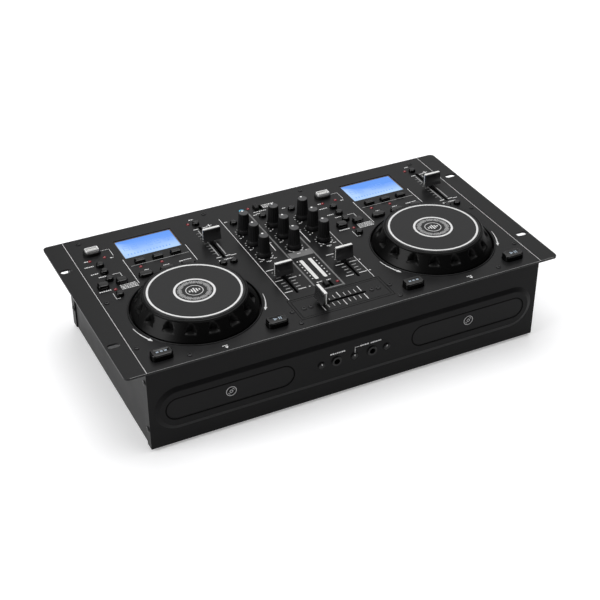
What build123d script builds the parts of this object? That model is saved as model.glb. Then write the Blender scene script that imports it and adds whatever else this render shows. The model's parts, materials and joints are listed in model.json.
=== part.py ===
from build123d import *
import math
import os

# Twin compact-disc player with a built-in mixer, millimetres.
# X runs to the right of the player's user, Y to the back, Z up.
# The origin is on the surface it stands on, under the middle of the rack plate.

# ------------------------------------------------------------------ driving sizes
# rack plate, 19 inch, and the widths that add up to it from the middle outwards
mixer_half_width = 48.9
deck_inner_width = 88.0
deck_outer_width = 83.2
ear_width = 21.2
slot_to_edge = 8.75
slot_spacing_y = 146.05
slot_length = 12.5
slot_width = 7.0
plate_thickness = 2.0
plate_corner = 5.0

# what adds up to the plate's depth over a deck, from the front edge to the back edge
front_margin = 17.2
jog_radius = 64.2
jog_gap = 2.0
oval_row_gap = 4.6
oval_key_size = (15.5, 9.0, 3.6)
soft_row_gap = 19.7
soft_key_size = (11.0, 6.0, 3.4)
display_gap = 8.65
display_rim = 2.5
display_size = (65.0, 38.3)
back_margin = 21.15

# case of folded sheet
case_height = 92.5
sheet = 1.2
front_setback = 3.7
rear_overhang = 13.4
foot_height = 3.0
foot_radius = 9.0
foot_inset = 20.0
flange_depth = 10.5
tab_width = 14.0
side_tab_depth = 12.0
front_tab_depth = 8.0
back_flange_depth = 7.5

# pressed pad on the front, and the disc drawers in it
pad_margin = 5.6
pad_height = 50.2
pad_slope = 4.9
pad_rise = 2.0
pad_above_floor = 42.2
drawer_shift = 1.6
disc_radius = 60.0
disc_play = 0.5
disc_recess = 2.8
small_disc_radius = 40.0
small_disc_recess = 0.8
tray_side_rim = 3.5
tray_front_rim = 6.5
tray_tail = 37.5
tray_corner = 6.0
tray_thickness = 5.0
tray_below_middle = 7.2
tray_gap = 0.3
fascia_overlap = 3.5
fascia_height = 23.4
fascia_thickness = 3.0
fascia_gap = 0.6
fascia_setback = 0.2
hub_window_radius = 17.0
laser_window_width = 24.0
laser_window_length = 28.0

# loader under each tray
bed_gap = 3.5
bed_thickness = 1.5
rail_wall = 2.6
rail_play = 0.6
rail_ledge = 3.0
rail_cap = 2.0
frame_from_front = 11.0
frame_tail = 8.0
frame_post_radius = 4.0
frame_post_inset = 10.0
bridge_height = 8.5
bridge_half_width = 10.0
bridge_thickness = 2.0
clamp_radius = 14.0
clamp_drop = 1.5
motor_radius = 12.0
motor_height = 10.0
spindle_radius = 1.5
turntable_radius = 13.0
turntable_thickness = 1.2
turntable_gap = 0.5
cone_foot_radius = 7.4
cone_top_radius = 6.2

# jog wheels
jog_top_radius = 53.4
jog_height = 18.8
jog_skirt = 3.5
jog_shoulder = 0.5
jog_rim_edge = 1.2
jog_wall = 3.0
jog_disc_radius = 51.0
jog_disc_thickness = 1.7
jog_disc_gap = 0.2
disc_lip = 1.0
scoop_count = 16
scoop_radius = 5.5
scoop_floor = 7.2
scoop_back = 0.2
well_depth = 9.0
well_wall = 1.5
well_flange = 3.0
post_radius = 6.0
hub_wall = 4.0
hub_lift = 3.0
washer_overlap = 2.5
washer_thickness = 1.0
running_fit = 0.05

# boards and what stands on them
board_drop = 11.5
board_thickness = 1.6
board_side_gap = 4.7
board_back_gap = 2.0
board_front_gap = 6.0
board_seam = 47.0
board_seam_gap = 2.0
mixer_board_overlap = 2.1
deck_board_front = 41.1
deck_board_inner = 79.0
deck_board_outer = 76.0
switch_size = 6.0
switch_height = 4.0

# keys
key_gap = 0.3
key_travel = 1.0
key_under_gap = 0.1
key_flange = 0.8
key_flange_thickness = 1.0
key_stem_radius = 1.5
key_crown = 0.25
start_key_crown = 0.12
lens_radius = 1.4
lens_gap = 0.1
lens_proud = 0.5

# faders
fader_slot_width = 2.8
fader_stem_length = 8.0
fader_stem_width = 1.6
fader_end_gap = 1.3
fader_body_width = 14.0
fader_body_floor = 2.0
pitch_body_end = 1.4
channel_body_end = 4.5
cross_body_end = 18.0
carriage_width = 8.0
carriage_height = 4.0
carriage_drop = 1.5
pitch_travel = 60.0
channel_travel = 45.0
cross_travel = 45.0
cap_width = 19.6
cap_foot = 9.6
cap_crest = 5.6
cap_waist = 5.6
cap_clear = 4.3
cap_top = 17.8

# knobs
knob_height = 24.5
knob_clear = 1.2
knob_skirt_radius = 6.9
knob_skirt_height = 3.2
knob_base_radius = 6.2
knob_top_radius = 5.2
knob_top_step = 0.8
knob_rib_count = 18
knob_rib_depth = 0.5
pointer_radius = 0.8
pointer_inset = 2.0
pointer_depth = 0.4
shaft_radius = 3.0
shaft_depth = 2.0
bush_radius = 4.2
bush_proud = 0.8
pot_size = 14.0
pot_height = 7.0

# ------------------------------------------------------------------ worked-out places
deck_x = mixer_half_width + deck_inner_width
case_width = 2 * (deck_x + deck_outer_width)
plate_width = case_width + 2 * ear_width
slot_spacing_x = plate_width - 2 * slot_to_edge
well_radius = jog_radius + jog_gap
plate_depth = (front_margin + 2 * well_radius + oval_row_gap + oval_key_size[1] + soft_row_gap
               + soft_key_size[1] + display_gap + display_size[1] + back_margin)
plate_front = -plate_depth / 2
plate_back = plate_depth / 2
jog_y = plate_front + front_margin + well_radius
oval_row_y = jog_y + well_radius + oval_row_gap + oval_key_size[1] / 2
soft_row_y = oval_row_y + (oval_key_size[1] + soft_key_size[1]) / 2 + soft_row_gap
display_y = soft_row_y + (soft_key_size[1] + display_size[1]) / 2 + display_gap

case_floor = foot_height
floor_top = case_floor + sheet
plate_under = foot_height + case_height
plate_top = plate_under + plate_thickness
front_y = plate_front + front_setback
pad_y = front_y - pad_rise
back_y = plate_back - rear_overhang
inside_front = front_y + sheet
inside_back = back_y - sheet
inside_x = case_width / 2 - 2 * sheet
pad_width = case_width - 2 * pad_margin
pad_middle_z = case_floor + pad_above_floor
board_top = plate_under - board_drop
board_under = board_top - board_thickness
well_floor = plate_top - well_depth
hub_under = well_floor + hub_lift
disc_seat = plate_top + jog_height - jog_disc_thickness

drawer_x = deck_x - drawer_shift
fascia_y = pad_y + fascia_setback
tray_front = fascia_y + fascia_thickness
tray_under = pad_middle_z - tray_below_middle
tray_top = tray_under + tray_thickness
tray_width = 2 * (disc_radius + disc_play + tray_side_rim)
fascia_width = tray_width + 2 * fascia_overlap
disc_y = inside_front + tray_front_rim + disc_radius + disc_play
tray_length = disc_y + disc_radius + disc_play + tray_tail - tray_front
bed_top = tray_under - bed_gap
bed_under = bed_top - bed_thickness
bridge_under = tray_top + bridge_height

SIDES = {"left": -1, "right": 1}

# Places on a deck: from the middle of its jog wheel in X, and from the plate's back edge in Y.
soft_key_x = (-20.4, -0.4, 19.6)
oval_key_x = (-23.8, -0.2, 23.4)
round_keys = [(-60.7, -61.2), (-60.9, -75.3), (-60.6, -90.6), (-60.5, -121.7)]
round_key_size = (8.3, 8.3, 3.8)
search_keys = [(-71.0, -101.3), (-50.7, -100.0)]
search_key_size = (11.5, 9.5, 4.6)
pitch_keys = [(61.0, -26.8), (56.4, -114.1), (68.0, -114.8)]
pitch_key_size = (7.6, 7.6, 3.4)
usb_place = (-60.4, -33.8)
usb_collar = (19.0, 13.5)
usb_collar_height = 4.0
usb_shell = (14.6, 7.8)
usb_play = 0.2
usb_mouth = (12.4, 5.2)
usb_rise = 6.0
usb_depth = 14.0
usb_under = 12.0
deck_lamps = [(-67.8, -48.4), (-51.1, -47.4), (-23.1, -81.2), (0.2, -81.7),
              (-61.1, -110.3), (53.0, -23.8)]
pitch_fader = (62.2, -68.6)

# The two start keys of a deck, from the plate's front edge.
cue_key = (-60.7, 19.3)
play_key = (59.6, 19.3)
start_key_size = (21.5, 13.0, 6.5)

# Places on the back half of the mixer, from the plate's back edge.
knob_columns = (-35.3, 0.0, 35.3)
knob_rows = (-65.7, -91.6, -117.5)
cue_buttons = [(-38.0, -43.7), (-2.8, -43.7), (32.4, -43.7)]
cue_button_size = (8.0, 8.0, 3.4)
microphone_slide = (-0.2, -24.1)
microphone_lamp = (-10.9, -21.9)

# Places on the front half of the mixer, from the plate's front edge.
channel_faders = [(-35.0, 86.9), (35.0, 86.9)]
channel_rest = 6.5
cross_plate_y = 31.8
cross_plate_depth = 29.6
cross_plate_margin = 0.3
cross_plate_gap = 0.35
cross_plate_lip = 3.0
cross_fader_y = 31.1
crossfader_slide = (-0.4, 60.3)
crossfader_lamp = (10.7, 60.5)
meters = [(-5.65, 93.2), (4.45, 93.2)]
meter_size = (4.7, 40.5)
meter_gap = 0.2
meter_corner = 1.4

# slide switches
slide_opening = (10.0, 9.6)
slide_lever = (4.4, 8.6)
slide_travel = 4.6
slide_rise = 1.6
slide_drop = 1.5
slide_wing = (1.0, 2.4)
slide_body_margin = 4.0

# Screws through the plate: into the case, the boards' posts and the fader plate.
back_screw_x = (-204.6, -59.9, 59.9, 204.6)
back_screw_from_case = 3.3
side_screw_inset = 5.8
side_screw_from_jog = (-41.4, 43.5)
front_screw_x = (-173.0, -55.4, 55.4, 173.0)
front_screw_y = 9.9
post_screw_gap = 6.4
post_screw_y = 31.2
board_post_radius = 2.6
fader_screw_x = (-42.0, -34.5, 34.5, 42.0)
screw_head_radius = 2.5
screw_head_height = 1.0
flange_screw_radius = 3.0
screw_radius = 1.4
screw_play = 0.1
screw_hole_radius = 1.7
screw_length = 5.0
post_screw_depth = 4.0
flange_screw_heights = (22.0, 78.0)

# Front sockets and knobs in the pad.
jack_x = 20.25
jack_radius = 3.25
jack_wall = 1.2
jack_nut_radius = 5.2
jack_proud = 1.4
jack_body = (13.0, 32.0, 15.0)
front_knob_x = (-37.2, 0.0, 37.2)
front_knob_radius = 3.5
front_knob_gap = 0.3
front_knob_proud = 1.5
front_shaft_radius = 1.5
front_pot = (11.0, 9.0, 11.0)
front_pot_gap = 1.0

# Sockets and the mains switch on the back.
phono_x = (-150.0, -110.0, -60.0, -20.0)
phono_low = 35.0
phono_pitch = 15.0
phono_radius = 4.15
phono_bore = 1.6
phono_length = 9.0
phono_block = (14.0, 20.0, 32.0)
inlet_x = 175.0
inlet_height = 42.0
inlet_mouth = (24.4, 16.4)
inlet_depth = 17.0
inlet_flange = (31.0, 24.0)
inlet_flange_thickness = 2.0
inlet_wall = 1.6
rocker_x = 140.0
rocker_size = (12.6, 19.0)
rocker_gap = 0.6
rocker_depth = 12.0
rocker_rim = 1.6
rocker_rim_overlap = 2.0
rocker_tilt = 8.0
rocker_pin_radius = 1.5
rocker_pin_inset = 1.5
rocker_face = 3.4
rocker_back = 2.5

# Power supply on the floor, between the drives.
supply_size = (96.0, 75.0)
supply_from_back = 13.9
supply_lift = 6.0
supply_post_radius = 3.0
supply_post_inset = 5.0
transformer_core = (44.0, 20.0, 33.0)
transformer_coil = (40.0, 40.0, 30.0)
transformer_x = -20.0
transformer_shift = 7.5
heat_sink = (4.0, 60.0, 24.0)
heat_sink_x = 36.0
capacitor_radius = 8.0
capacitor_height = 22.0
capacitor_x = 15.0
capacitor_from_middle = (-17.5, 7.5)

# Openings that other lists are made from.
back_screws = [(x, back_y + back_screw_from_case) for x in back_screw_x]
side_screws = [(sign * (case_width / 2 - side_screw_inset), jog_y + dy)
               for sign in (-1, 1) for dy in side_screw_from_jog]
front_screws = [(x, plate_front + front_screw_y) for x in front_screw_x]
post_screws = [(sign * (mixer_half_width + post_screw_gap), plate_front + post_screw_y)
               for sign in (-1, 1)]
cross_plate = (0.0, plate_front + cross_plate_y)
cross_plate_size = (2 * (mixer_half_width + cross_plate_margin), cross_plate_depth)
cross_fader = (0.0, plate_front + cross_fader_y)
slide_switches = {"microphone_switch": (microphone_slide[0], plate_back + microphone_slide[1]),
                  "crossfader_switch": (crossfader_slide[0], plate_front + crossfader_slide[1])}


# ------------------------------------------------------------------ plain shapes
def block(x0, x1, y0, y1, z0, z1):
    return Pos((x0 + x1) / 2, (y0 + y1) / 2, (z0 + z1) / 2) * Box(x1 - x0, y1 - y0, z1 - z0)


def block_at(x, y, size_x, size_y, z0, z1):
    return block(x - size_x / 2, x + size_x / 2, y - size_y / 2, y + size_y / 2, z0, z1)


def post(x, y, radius, z0, z1):
    return Pos(x, y, (z0 + z1) / 2) * Cylinder(radius, z1 - z0)


def rod_y(x, z, radius, y0, y1):
    return Pos(x, (y0 + y1) / 2, z) * Rot(90, 0, 0) * Cylinder(radius, y1 - y0)


def slab(outline, x, y, z0, z1):
    return Pos(x, y, z0) * extrude(outline, z1 - z0)


def upright(outline, x, z, y_front, y_back):
    """An outline drawn in X and Z, from its front face to its back face."""
    return Pos(x, y_back, z) * Rot(90, 0, 0) * extrude(outline, y_back - y_front)


def key_outline(size, grow=0.0):
    width, depth = size[0] + 2 * grow, size[1] + 2 * grow
    if abs(width - depth) < 0.01:
        return Circle(width / 2)
    return RectangleRounded(width, depth, min(width, depth) * 0.32)


def oval_outline(size, grow=0.0):
    return SlotOverall(size[0] + 2 * grow, size[1] + 2 * grow)


def soft_outline(size, grow=0.0):
    return RectangleRounded(size[0] + 2 * grow, size[1] + 2 * grow, 0.8)


# ------------------------------------------------------------------ lists of what sits where
def deck_keys(side):
    """The two groups of small keys on one deck: outline, size, places."""
    x = SIDES[side] * deck_x
    display_rows = [(soft_outline, soft_key_size, [(x + dx, soft_row_y) for dx in soft_key_x]),
                    (oval_outline, oval_key_size, [(x + dx, oval_row_y) for dx in oval_key_x])]
    side_rows = [(key_outline, size, [(x + dx, plate_back + dy) for dx, dy in places])
                 for size, places in ((round_key_size, round_keys), (search_key_size, search_keys),
                                      (pitch_key_size, pitch_keys))]
    return {"display_keys": display_rows, "side_keys": side_rows}


def start_key_place(side, place):
    return SIDES[side] * deck_x + place[0], plate_front + place[1]


def mixer_button_places():
    return [(x, plate_back + y) for x, y in cue_buttons]


def all_key_cells():
    """Every key on the plate, as outline, size and place."""
    cells = []
    for side in SIDES:
        for rows in deck_keys(side).values():
            for outline, size, places in rows:
                cells += [(outline, size, place) for place in places]
        for place in (cue_key, play_key):
            cells.append((key_outline, start_key_size, start_key_place(side, place)))
    cells += [(key_outline, cue_button_size, place) for place in mixer_button_places()]
    return cells


def lamp_places():
    places = [(sign * deck_x + dx, plate_back + dy) for sign in SIDES.values() for dx, dy in deck_lamps]
    places.append((microphone_lamp[0], plate_back + microphone_lamp[1]))
    places.append((crossfader_lamp[0], plate_front + crossfader_lamp[1]))
    return places


def knob_places():
    return [(x, plate_back + y) for x in knob_columns for y in knob_rows]


def meter_places():
    return [(x, plate_front + y) for x, y in meters]


def fader_cells():
    """Name, slot middle, travel, way it runs, rest place along the way, and the body's end length."""
    cells = []
    for side, sign in SIDES.items():
        place = (sign * deck_x + pitch_fader[0], plate_back + pitch_fader[1])
        cells.append((side + "_pitch_fader_cap", place, pitch_travel, "Y", 0.0, pitch_body_end))
    for side, (x, y) in zip(SIDES, channel_faders):
        place = (x, plate_front + y)
        cells.append((side + "_channel_fader_cap", place, channel_travel, "Y", channel_rest,
                      channel_body_end))
    cells.append(("crossfader_cap", cross_fader, cross_travel, "X", -cross_travel / 2, cross_body_end))
    return cells


def turned(shape, way):
    """Shapes drawn for a run along Y, turned for a run along X."""
    return shape if way == "Y" else Rot(0, 0, 90) * shape


def fader_slot(travel, way):
    length = travel + fader_stem_length + 2 * fader_end_gap
    slot = Rot(0, 0, 90) * SlotOverall(length, fader_slot_width)
    return turned(slot, way)


# ------------------------------------------------------------------ plate
def top_plate():
    flat = RectangleRounded(plate_width, plate_depth, plate_corner)
    for x in (-slot_spacing_x / 2, slot_spacing_x / 2):
        for y in (-slot_spacing_y / 2, slot_spacing_y / 2):
            flat -= Pos(x, y) * SlotOverall(slot_length, slot_width)
    for sign in SIDES.values():
        x = sign * deck_x
        flat -= Pos(x, jog_y) * Circle(well_radius)
        flat -= Pos(x, display_y) * RectangleRounded(*display_size, 1.0)
        flat -= Pos(x + usb_place[0], plate_back + usb_place[1]) * RectangleRounded(*usb_shell, 1.0)
    for outline, size, place in all_key_cells():
        flat -= Pos(*place) * outline(size, key_gap)
    for place in lamp_places():
        flat -= Pos(*place) * Circle(lens_radius + lens_gap)
    for name, place, travel, way, rest, end in fader_cells():
        if name != "crossfader_cap":
            flat -= Pos(*place) * fader_slot(travel, way)
    for place in knob_places():
        flat -= Pos(*place) * Circle(bush_radius + lens_gap)
    for place in slide_switches.values():
        flat -= Pos(*place) * Rectangle(*slide_opening)
    for place in meter_places():
        flat -= Pos(*place) * meter_outline(meter_gap)
    flat -= Pos(*cross_plate) * cross_outline(cross_plate_gap)
    for place in back_screws + side_screws + front_screws + post_screws:
        flat -= Pos(*place) * Circle(screw_hole_radius)
    return slab(flat, 0, 0, plate_under, plate_top)


def cross_outline(grow):
    return Rectangle(cross_plate_size[0] + 2 * grow, cross_plate_size[1] + 2 * grow)


def crossfader_plate():
    """Flush plate round the crossfader, with a lip that bears on the underside of the rack plate."""
    face = cross_outline(0)
    lip = cross_outline(cross_plate_lip)
    fader_y = cross_fader[1] - cross_plate[1]
    slot = Pos(cross_fader[0] - cross_plate[0], fader_y) * fader_slot(cross_travel, "X")
    holes = Sketch() + [Pos(x - cross_plate[0], fader_y) * Circle(screw_hole_radius) for x in fader_screw_x]
    upper = slab(face - slot - holes, *cross_plate, plate_under - sheet, plate_top)
    lower = slab(lip - slot - holes, *cross_plate, plate_under - sheet, plate_under)
    return upper + lower


# ------------------------------------------------------------------ case
def screw_tab(x0, x1, y0, y1, x, y):
    """Tab bent in under the plate, with its threaded hole."""
    tab = block(x0, x1, y0, y1, plate_under - sheet, plate_under)
    return tab - post(x, y, screw_radius, plate_under - sheet, plate_under)


def chassis():
    """Floor and side walls of one folded sheet, with tabs under the plate's side screws."""
    outer_x = inside_x + sheet
    body = block(-outer_x, outer_x, inside_front, inside_back, case_floor, floor_top)
    for sign in (-1, 1):
        wall_x = sorted((sign * inside_x, sign * outer_x))
        body += block(*wall_x, inside_front, inside_back, case_floor, plate_under)
        tab_x = sorted((sign * inside_x, sign * (inside_x - side_tab_depth)))
        for x, y in side_screws:
            if x * sign > 0:
                body += screw_tab(*tab_x, y - tab_width / 2, y + tab_width / 2, x, y)
    return body


def stadium_loft(width_a, height_a, y_a, width_b, height_b, y_b):
    face_a = Pos(0, y_a, pad_middle_z) * Rot(90, 0, 0) * SlotOverall(width_a, height_a)
    face_b = Pos(0, y_b, pad_middle_z) * Rot(90, 0, 0) * SlotOverall(width_b, height_b)
    return loft([face_a, face_b])


def side_flanges(y0, y1):
    """Strips that wrap the side walls, with a hole for each flange screw."""
    flanges = []
    for sign in (-1, 1):
        x = sorted((sign * (inside_x + sheet), sign * case_width / 2))
        strip = block(*x, y0, y1, case_floor, plate_under)
        for height in flange_screw_heights:
            hole = Rot(0, 90, 0) * Cylinder(screw_radius, 4 * sheet)
            strip -= Pos(sign * case_width / 2, (y0 + y1) / 2, case_floor + height) * hole
        flanges.append(strip)
    return flanges


def front_panel():
    """Sheet with a pressed stadium pad, two drawer openings and holes for sockets and knobs."""
    panel = block(-case_width / 2, case_width / 2, front_y, inside_front, case_floor, plate_under)
    foot = 2 * pad_slope * sheet / pad_rise
    foot_width, foot_height_z = pad_width + foot, pad_height + foot
    flat_width, flat_height = pad_width - 2 * pad_slope, pad_height - 2 * pad_slope
    panel += stadium_loft(foot_width, foot_height_z, inside_front, flat_width, flat_height, pad_y)
    panel -= stadium_loft(foot_width - 2 * sheet, foot_height_z - 2 * sheet, inside_front,
                          flat_width - 2 * sheet, flat_height - 2 * sheet, pad_y + sheet)
    opening = SlotOverall(fascia_width + 2 * fascia_gap, fascia_height + 2 * fascia_gap)
    for sign in SIDES.values():
        panel -= upright(opening, sign * drawer_x, pad_middle_z, pad_y, inside_front)
        panel -= rod_y(sign * jack_x, pad_middle_z, jack_radius + jack_wall + lens_gap, pad_y, inside_front)
    for x in front_knob_x:
        panel -= rod_y(x, pad_middle_z, front_knob_radius + front_knob_gap, pad_y, inside_front)
    for flange in side_flanges(front_y, front_y + flange_depth):
        panel += flange
    for x, y in front_screws:
        tab_x = (x - tab_width / 2, x + tab_width / 2)
        panel += screw_tab(*tab_x, inside_front, inside_front + front_tab_depth, x, y)
    return panel


def rear_panel():
    """Sheet with a flange turned out under the plate, and openings for what plugs in."""
    panel = block(-case_width / 2, case_width / 2, inside_back, back_y, case_floor, plate_under)
    flange = block(-inside_x, inside_x, back_y, back_y + back_flange_depth, plate_under - sheet, plate_under)
    for x, y in back_screws:
        flange -= post(x, y, screw_radius, plate_under - sheet, plate_under)
    panel += flange
    for x in phono_x:
        for z in phono_heights():
            panel -= rod_y(x, z, phono_radius + lens_gap, inside_back, back_y)
    panel -= upright(inlet_shell(usb_play), inlet_x, inlet_middle(), inside_back, back_y)
    panel -= upright(rocker_shell(usb_play), rocker_x, inlet_middle(), inside_back, back_y)
    for strip in side_flanges(back_y - flange_depth, back_y):
        panel += strip
    return panel


def feet():
    places = [(sign * (case_width / 2 - foot_inset), y)
              for sign in (-1, 1) for y in (front_y + foot_inset, back_y - foot_inset)]
    return [post(x, y, foot_radius, 0, foot_height) for x, y in places]


def plate_screw(x, y, length):
    head = post(x, y, screw_head_radius, plate_top, plate_top + screw_head_height)
    return head + post(x, y, screw_radius - screw_play, plate_top - length, plate_top)


def flange_screw(sign, y, z):
    """Screw through a side strip: its head stands outside the case's width."""
    head_x = sign * (case_width / 2 + screw_head_height / 2)
    shank_x = sign * (case_width / 2 - sheet / 2)
    head = Pos(head_x, y, z) * Rot(0, 90, 0) * Cylinder(flange_screw_radius, screw_head_height)
    return head + Pos(shank_x, y, z) * Rot(0, 90, 0) * Cylinder(screw_radius - screw_play, sheet)


def screws():
    """Every screw that shows: through the plate, and through the strips on the side walls."""
    fader_screws = [(x, cross_fader[1]) for x in fader_screw_x]
    places = back_screws + side_screws + front_screws + post_screws + fader_screws
    solids = [plate_screw(x, y, screw_length) for x, y in places]
    for sign in (-1, 1):
        for y in (front_y + flange_depth / 2, back_y - flange_depth / 2):
            solids += [flange_screw(sign, y, case_floor + height) for height in flange_screw_heights]
    return solids


# ------------------------------------------------------------------ jog wheels
def jog_well(x):
    """Dish under the plate's round opening, with the wheel's bearing post and its retaining washer."""
    lip = post(x, jog_y, well_radius + well_flange, plate_under - well_wall, plate_under)
    bowl = post(x, jog_y, well_radius + well_wall, well_floor - well_wall, plate_under - well_wall)
    dish = lip + bowl - post(x, jog_y, well_radius, well_floor, plate_under)
    washer_under = disc_seat - washer_thickness - running_fit * 10
    step = post(x, jog_y, post_radius + hub_wall, well_floor, hub_under - key_gap)
    stem = post(x, jog_y, post_radius, well_floor, washer_under)
    washer = post(x, jog_y, post_radius + washer_overlap, washer_under, washer_under + washer_thickness)
    return dish + step + stem + washer


def jog_grip(x):
    """Hollow flared wheel with finger scoops round its slope, and a hub that runs on the post."""
    shoulder = plate_top + jog_shoulder
    low = plate_top - jog_skirt
    crest = plate_top + jog_height - jog_rim_edge
    ledge = disc_seat + disc_lip
    inner_top = disc_seat - jog_wall
    ceiling = plate_top + scoop_floor - jog_wall
    inner_radius = jog_top_radius - jog_wall
    hub_radius = post_radius + hub_wall
    outline = Polyline((0, disc_seat), (jog_disc_radius, disc_seat), (jog_disc_radius, ledge),
                       (jog_top_radius - jog_rim_edge, ledge), (jog_top_radius, crest - jog_rim_edge),
                       (jog_radius, shoulder), (jog_radius, low), (jog_radius - jog_wall, low),
                       (jog_radius - jog_wall, shoulder - 1), (jog_radius - 2 * jog_wall, ceiling),
                       (inner_radius, ceiling), (inner_radius, inner_top), (hub_radius, inner_top),
                       (hub_radius, hub_under), (0, hub_under), (0, disc_seat))
    body = revolve(make_face(Plane.XZ * outline), Axis.Z)
    body -= scoops(crest)
    body -= post(0, 0, post_radius + running_fit, hub_under, disc_seat)
    body -= post(0, 0, post_radius + washer_overlap + washer_thickness / 2,
                 disc_seat - washer_thickness - 16 * running_fit, disc_seat)
    return Pos(x, jog_y, 0) * body


def scoops(crest):
    """Upright round cuts that start under the rim and end on a flat floor above the foot."""
    cutter = post(jog_top_radius + scoop_back + scoop_radius, 0, scoop_radius, plate_top + scoop_floor, crest)
    return [Rot(0, 0, (i + 0.5) * 360 / scoop_count) * cutter for i in range(scoop_count)]


def jog_disc(x):
    disc = post(x, jog_y, jog_disc_radius - jog_disc_gap, disc_seat, plate_top + jog_height)
    return chamfer(disc.edges().group_by(Axis.Z)[-1], 2 * jog_disc_gap)


# ------------------------------------------------------------------ keys
def key(outline, size, place, crown=key_crown):
    """Cap through the plate, flange under it, and the stem that reaches down to its switch."""
    width, depth, height = size
    flange_top = plate_under - key_under_gap
    flange_under = flange_top - key_flange_thickness
    cap = slab(outline(size), 0, 0, flange_under, plate_top + height)
    cap = fillet(cap.edges().group_by(Axis.Z)[-1], min(crown * min(width, depth), 0.4 * height))
    flange = slab(outline(size, key_flange), 0, 0, flange_under, flange_top)
    stem = post(0, 0, key_stem_radius, board_top + switch_height + key_travel + key_gap, flange_top)
    return Pos(*place) * (cap + flange + stem)


def key_group(rows):
    return [key(outline, size, place) for outline, size, places in rows for place in places]


def slide_lever_node(place):
    """Lever of a slide switch, at the left end of its opening, with a wing that holds it under the plate."""
    x = place[0] - slide_travel / 2
    low = plate_under - slide_drop
    cap = block_at(x, place[1], *slide_lever, low, plate_top + slide_rise)
    cap = chamfer(cap.edges().group_by(Axis.Z)[-1], 0.5)
    wing = block_at(x, place[1], slide_lever[0] + slide_wing[0], slide_opening[1] + slide_wing[1],
                    low, plate_under - key_gap)
    return cap + wing


# ------------------------------------------------------------------ faders
def fader_cap(place, way, rest):
    """Blade-shaped cap with hollow faces, on the stem and carriage that run in the fader's body."""
    low, high = plate_top + cap_clear, plate_top + cap_top
    middle = (low + high) / 2
    side = (Polyline((-cap_foot / 2, low), (cap_foot / 2, low))
            + ThreePointArc((cap_foot / 2, low), (cap_waist / 2, middle), (cap_crest / 2, high))
            + Line((cap_crest / 2, high), (-cap_crest / 2, high))
            + ThreePointArc((-cap_crest / 2, high), (-cap_waist / 2, middle), (-cap_foot / 2, low)))
    blade = extrude(make_face(Plane.YZ * side), cap_width / 2, both=True)
    carriage_top = plate_under - carriage_drop
    stem = block_at(0, 0, fader_stem_width, fader_stem_length, carriage_top, low + fader_stem_width)
    carriage = block_at(0, 0, carriage_width, fader_stem_length, carriage_top - carriage_height, carriage_top)
    shape = turned(blade + stem + carriage, way)
    shift = (0, rest) if way == "Y" else (rest, 0)
    return Pos(place[0] + shift[0], place[1] + shift[1]) * shape


def fader_body(place, travel, way, end):
    """Open channel between board and plate that the carriage slides in."""
    top = plate_under if way == "Y" else plate_under - sheet
    run = travel + fader_stem_length + 2 * fader_end_gap
    body = block_at(0, 0, fader_body_width, run + 2 * end, board_top, top)
    channel = block_at(0, 0, carriage_width + 2 * key_gap, run, board_top + fader_body_floor, top)
    shape = Pos(*place) * turned(body - channel, way)
    if way == "X":
        for x in fader_screw_x:
            shape -= post(x, place[1], screw_radius, top - screw_length, top)
    return shape


# ------------------------------------------------------------------ knobs
def ribbed_outline(radius):
    points = []
    for i in range(knob_rib_count):
        for part, reach in ((0.0, radius), (0.5, radius), (0.75, radius - knob_rib_depth)):
            turn = 2 * math.pi * (i + part) / knob_rib_count
            points.append((reach * math.cos(turn), reach * math.sin(turn)))
    return make_face(Polyline(*points, close=True))


def knob(x, y):
    """Ribbed knob with a skirt, a dot sunk in its top, and the shaft it turns on."""
    low = plate_top + knob_clear
    top = plate_top + knob_height
    waist = low + knob_skirt_height
    upright_cone = (Align.CENTER, Align.CENTER, Align.MIN)
    skirt = Pos(0, 0, low) * Cone(knob_skirt_radius, knob_base_radius + 0.3, knob_skirt_height,
                                  align=upright_cone)
    lean = math.degrees(math.atan2(knob_base_radius - knob_top_radius, top - waist))
    ribbed = extrude(ribbed_outline(knob_base_radius), top - waist - knob_top_step, taper=lean)
    body = Pos(0, 0, waist) * ribbed
    cap = post(0, 0, knob_top_radius - knob_rib_depth - 0.2, top - knob_top_step, top)
    pointer = post(0, knob_top_radius - pointer_inset, pointer_radius, top - pointer_depth, top)
    shaft = post(0, 0, shaft_radius, board_top + pot_height - shaft_depth, waist)
    return Pos(x, y) * (skirt + body + cap - pointer + shaft)


def potentiometer(x, y):
    pot_top = board_top + pot_height
    body = block_at(x, y, pot_size, pot_size, board_top, pot_top)
    bush = post(x, y, bush_radius, pot_top, plate_top + bush_proud)
    bore = post(x, y, shaft_radius + running_fit, pot_top - shaft_depth - 0.5, plate_top + bush_proud)
    return body + bush - bore


def front_knob(x):
    face_y = pad_y - front_knob_proud
    cap = rod_y(x, pad_middle_z, front_knob_radius, face_y, inside_front)
    cap = chamfer(cap.edges().group_by(Axis.Y)[0], 0.5)
    pointer = block(x - pointer_depth, x + pointer_depth, face_y, face_y + pointer_depth,
                    pad_middle_z, pad_middle_z + front_knob_radius)
    shaft_end = inside_front + front_pot_gap + front_pot[1] / 2
    return cap - pointer + rod_y(x, pad_middle_z, front_shaft_radius, inside_front, shaft_end)


def front_pot_body(x):
    front = inside_front + front_pot_gap
    body = block(x - front_pot[0] / 2, x + front_pot[0] / 2, front, front + front_pot[1],
                 pad_middle_z - front_pot[2] / 2, pad_middle_z + front_pot[2] / 2)
    bore_end = front + front_pot[1] / 2 + key_gap
    return body - rod_y(x, pad_middle_z, front_shaft_radius + running_fit, front, bore_end)


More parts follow.
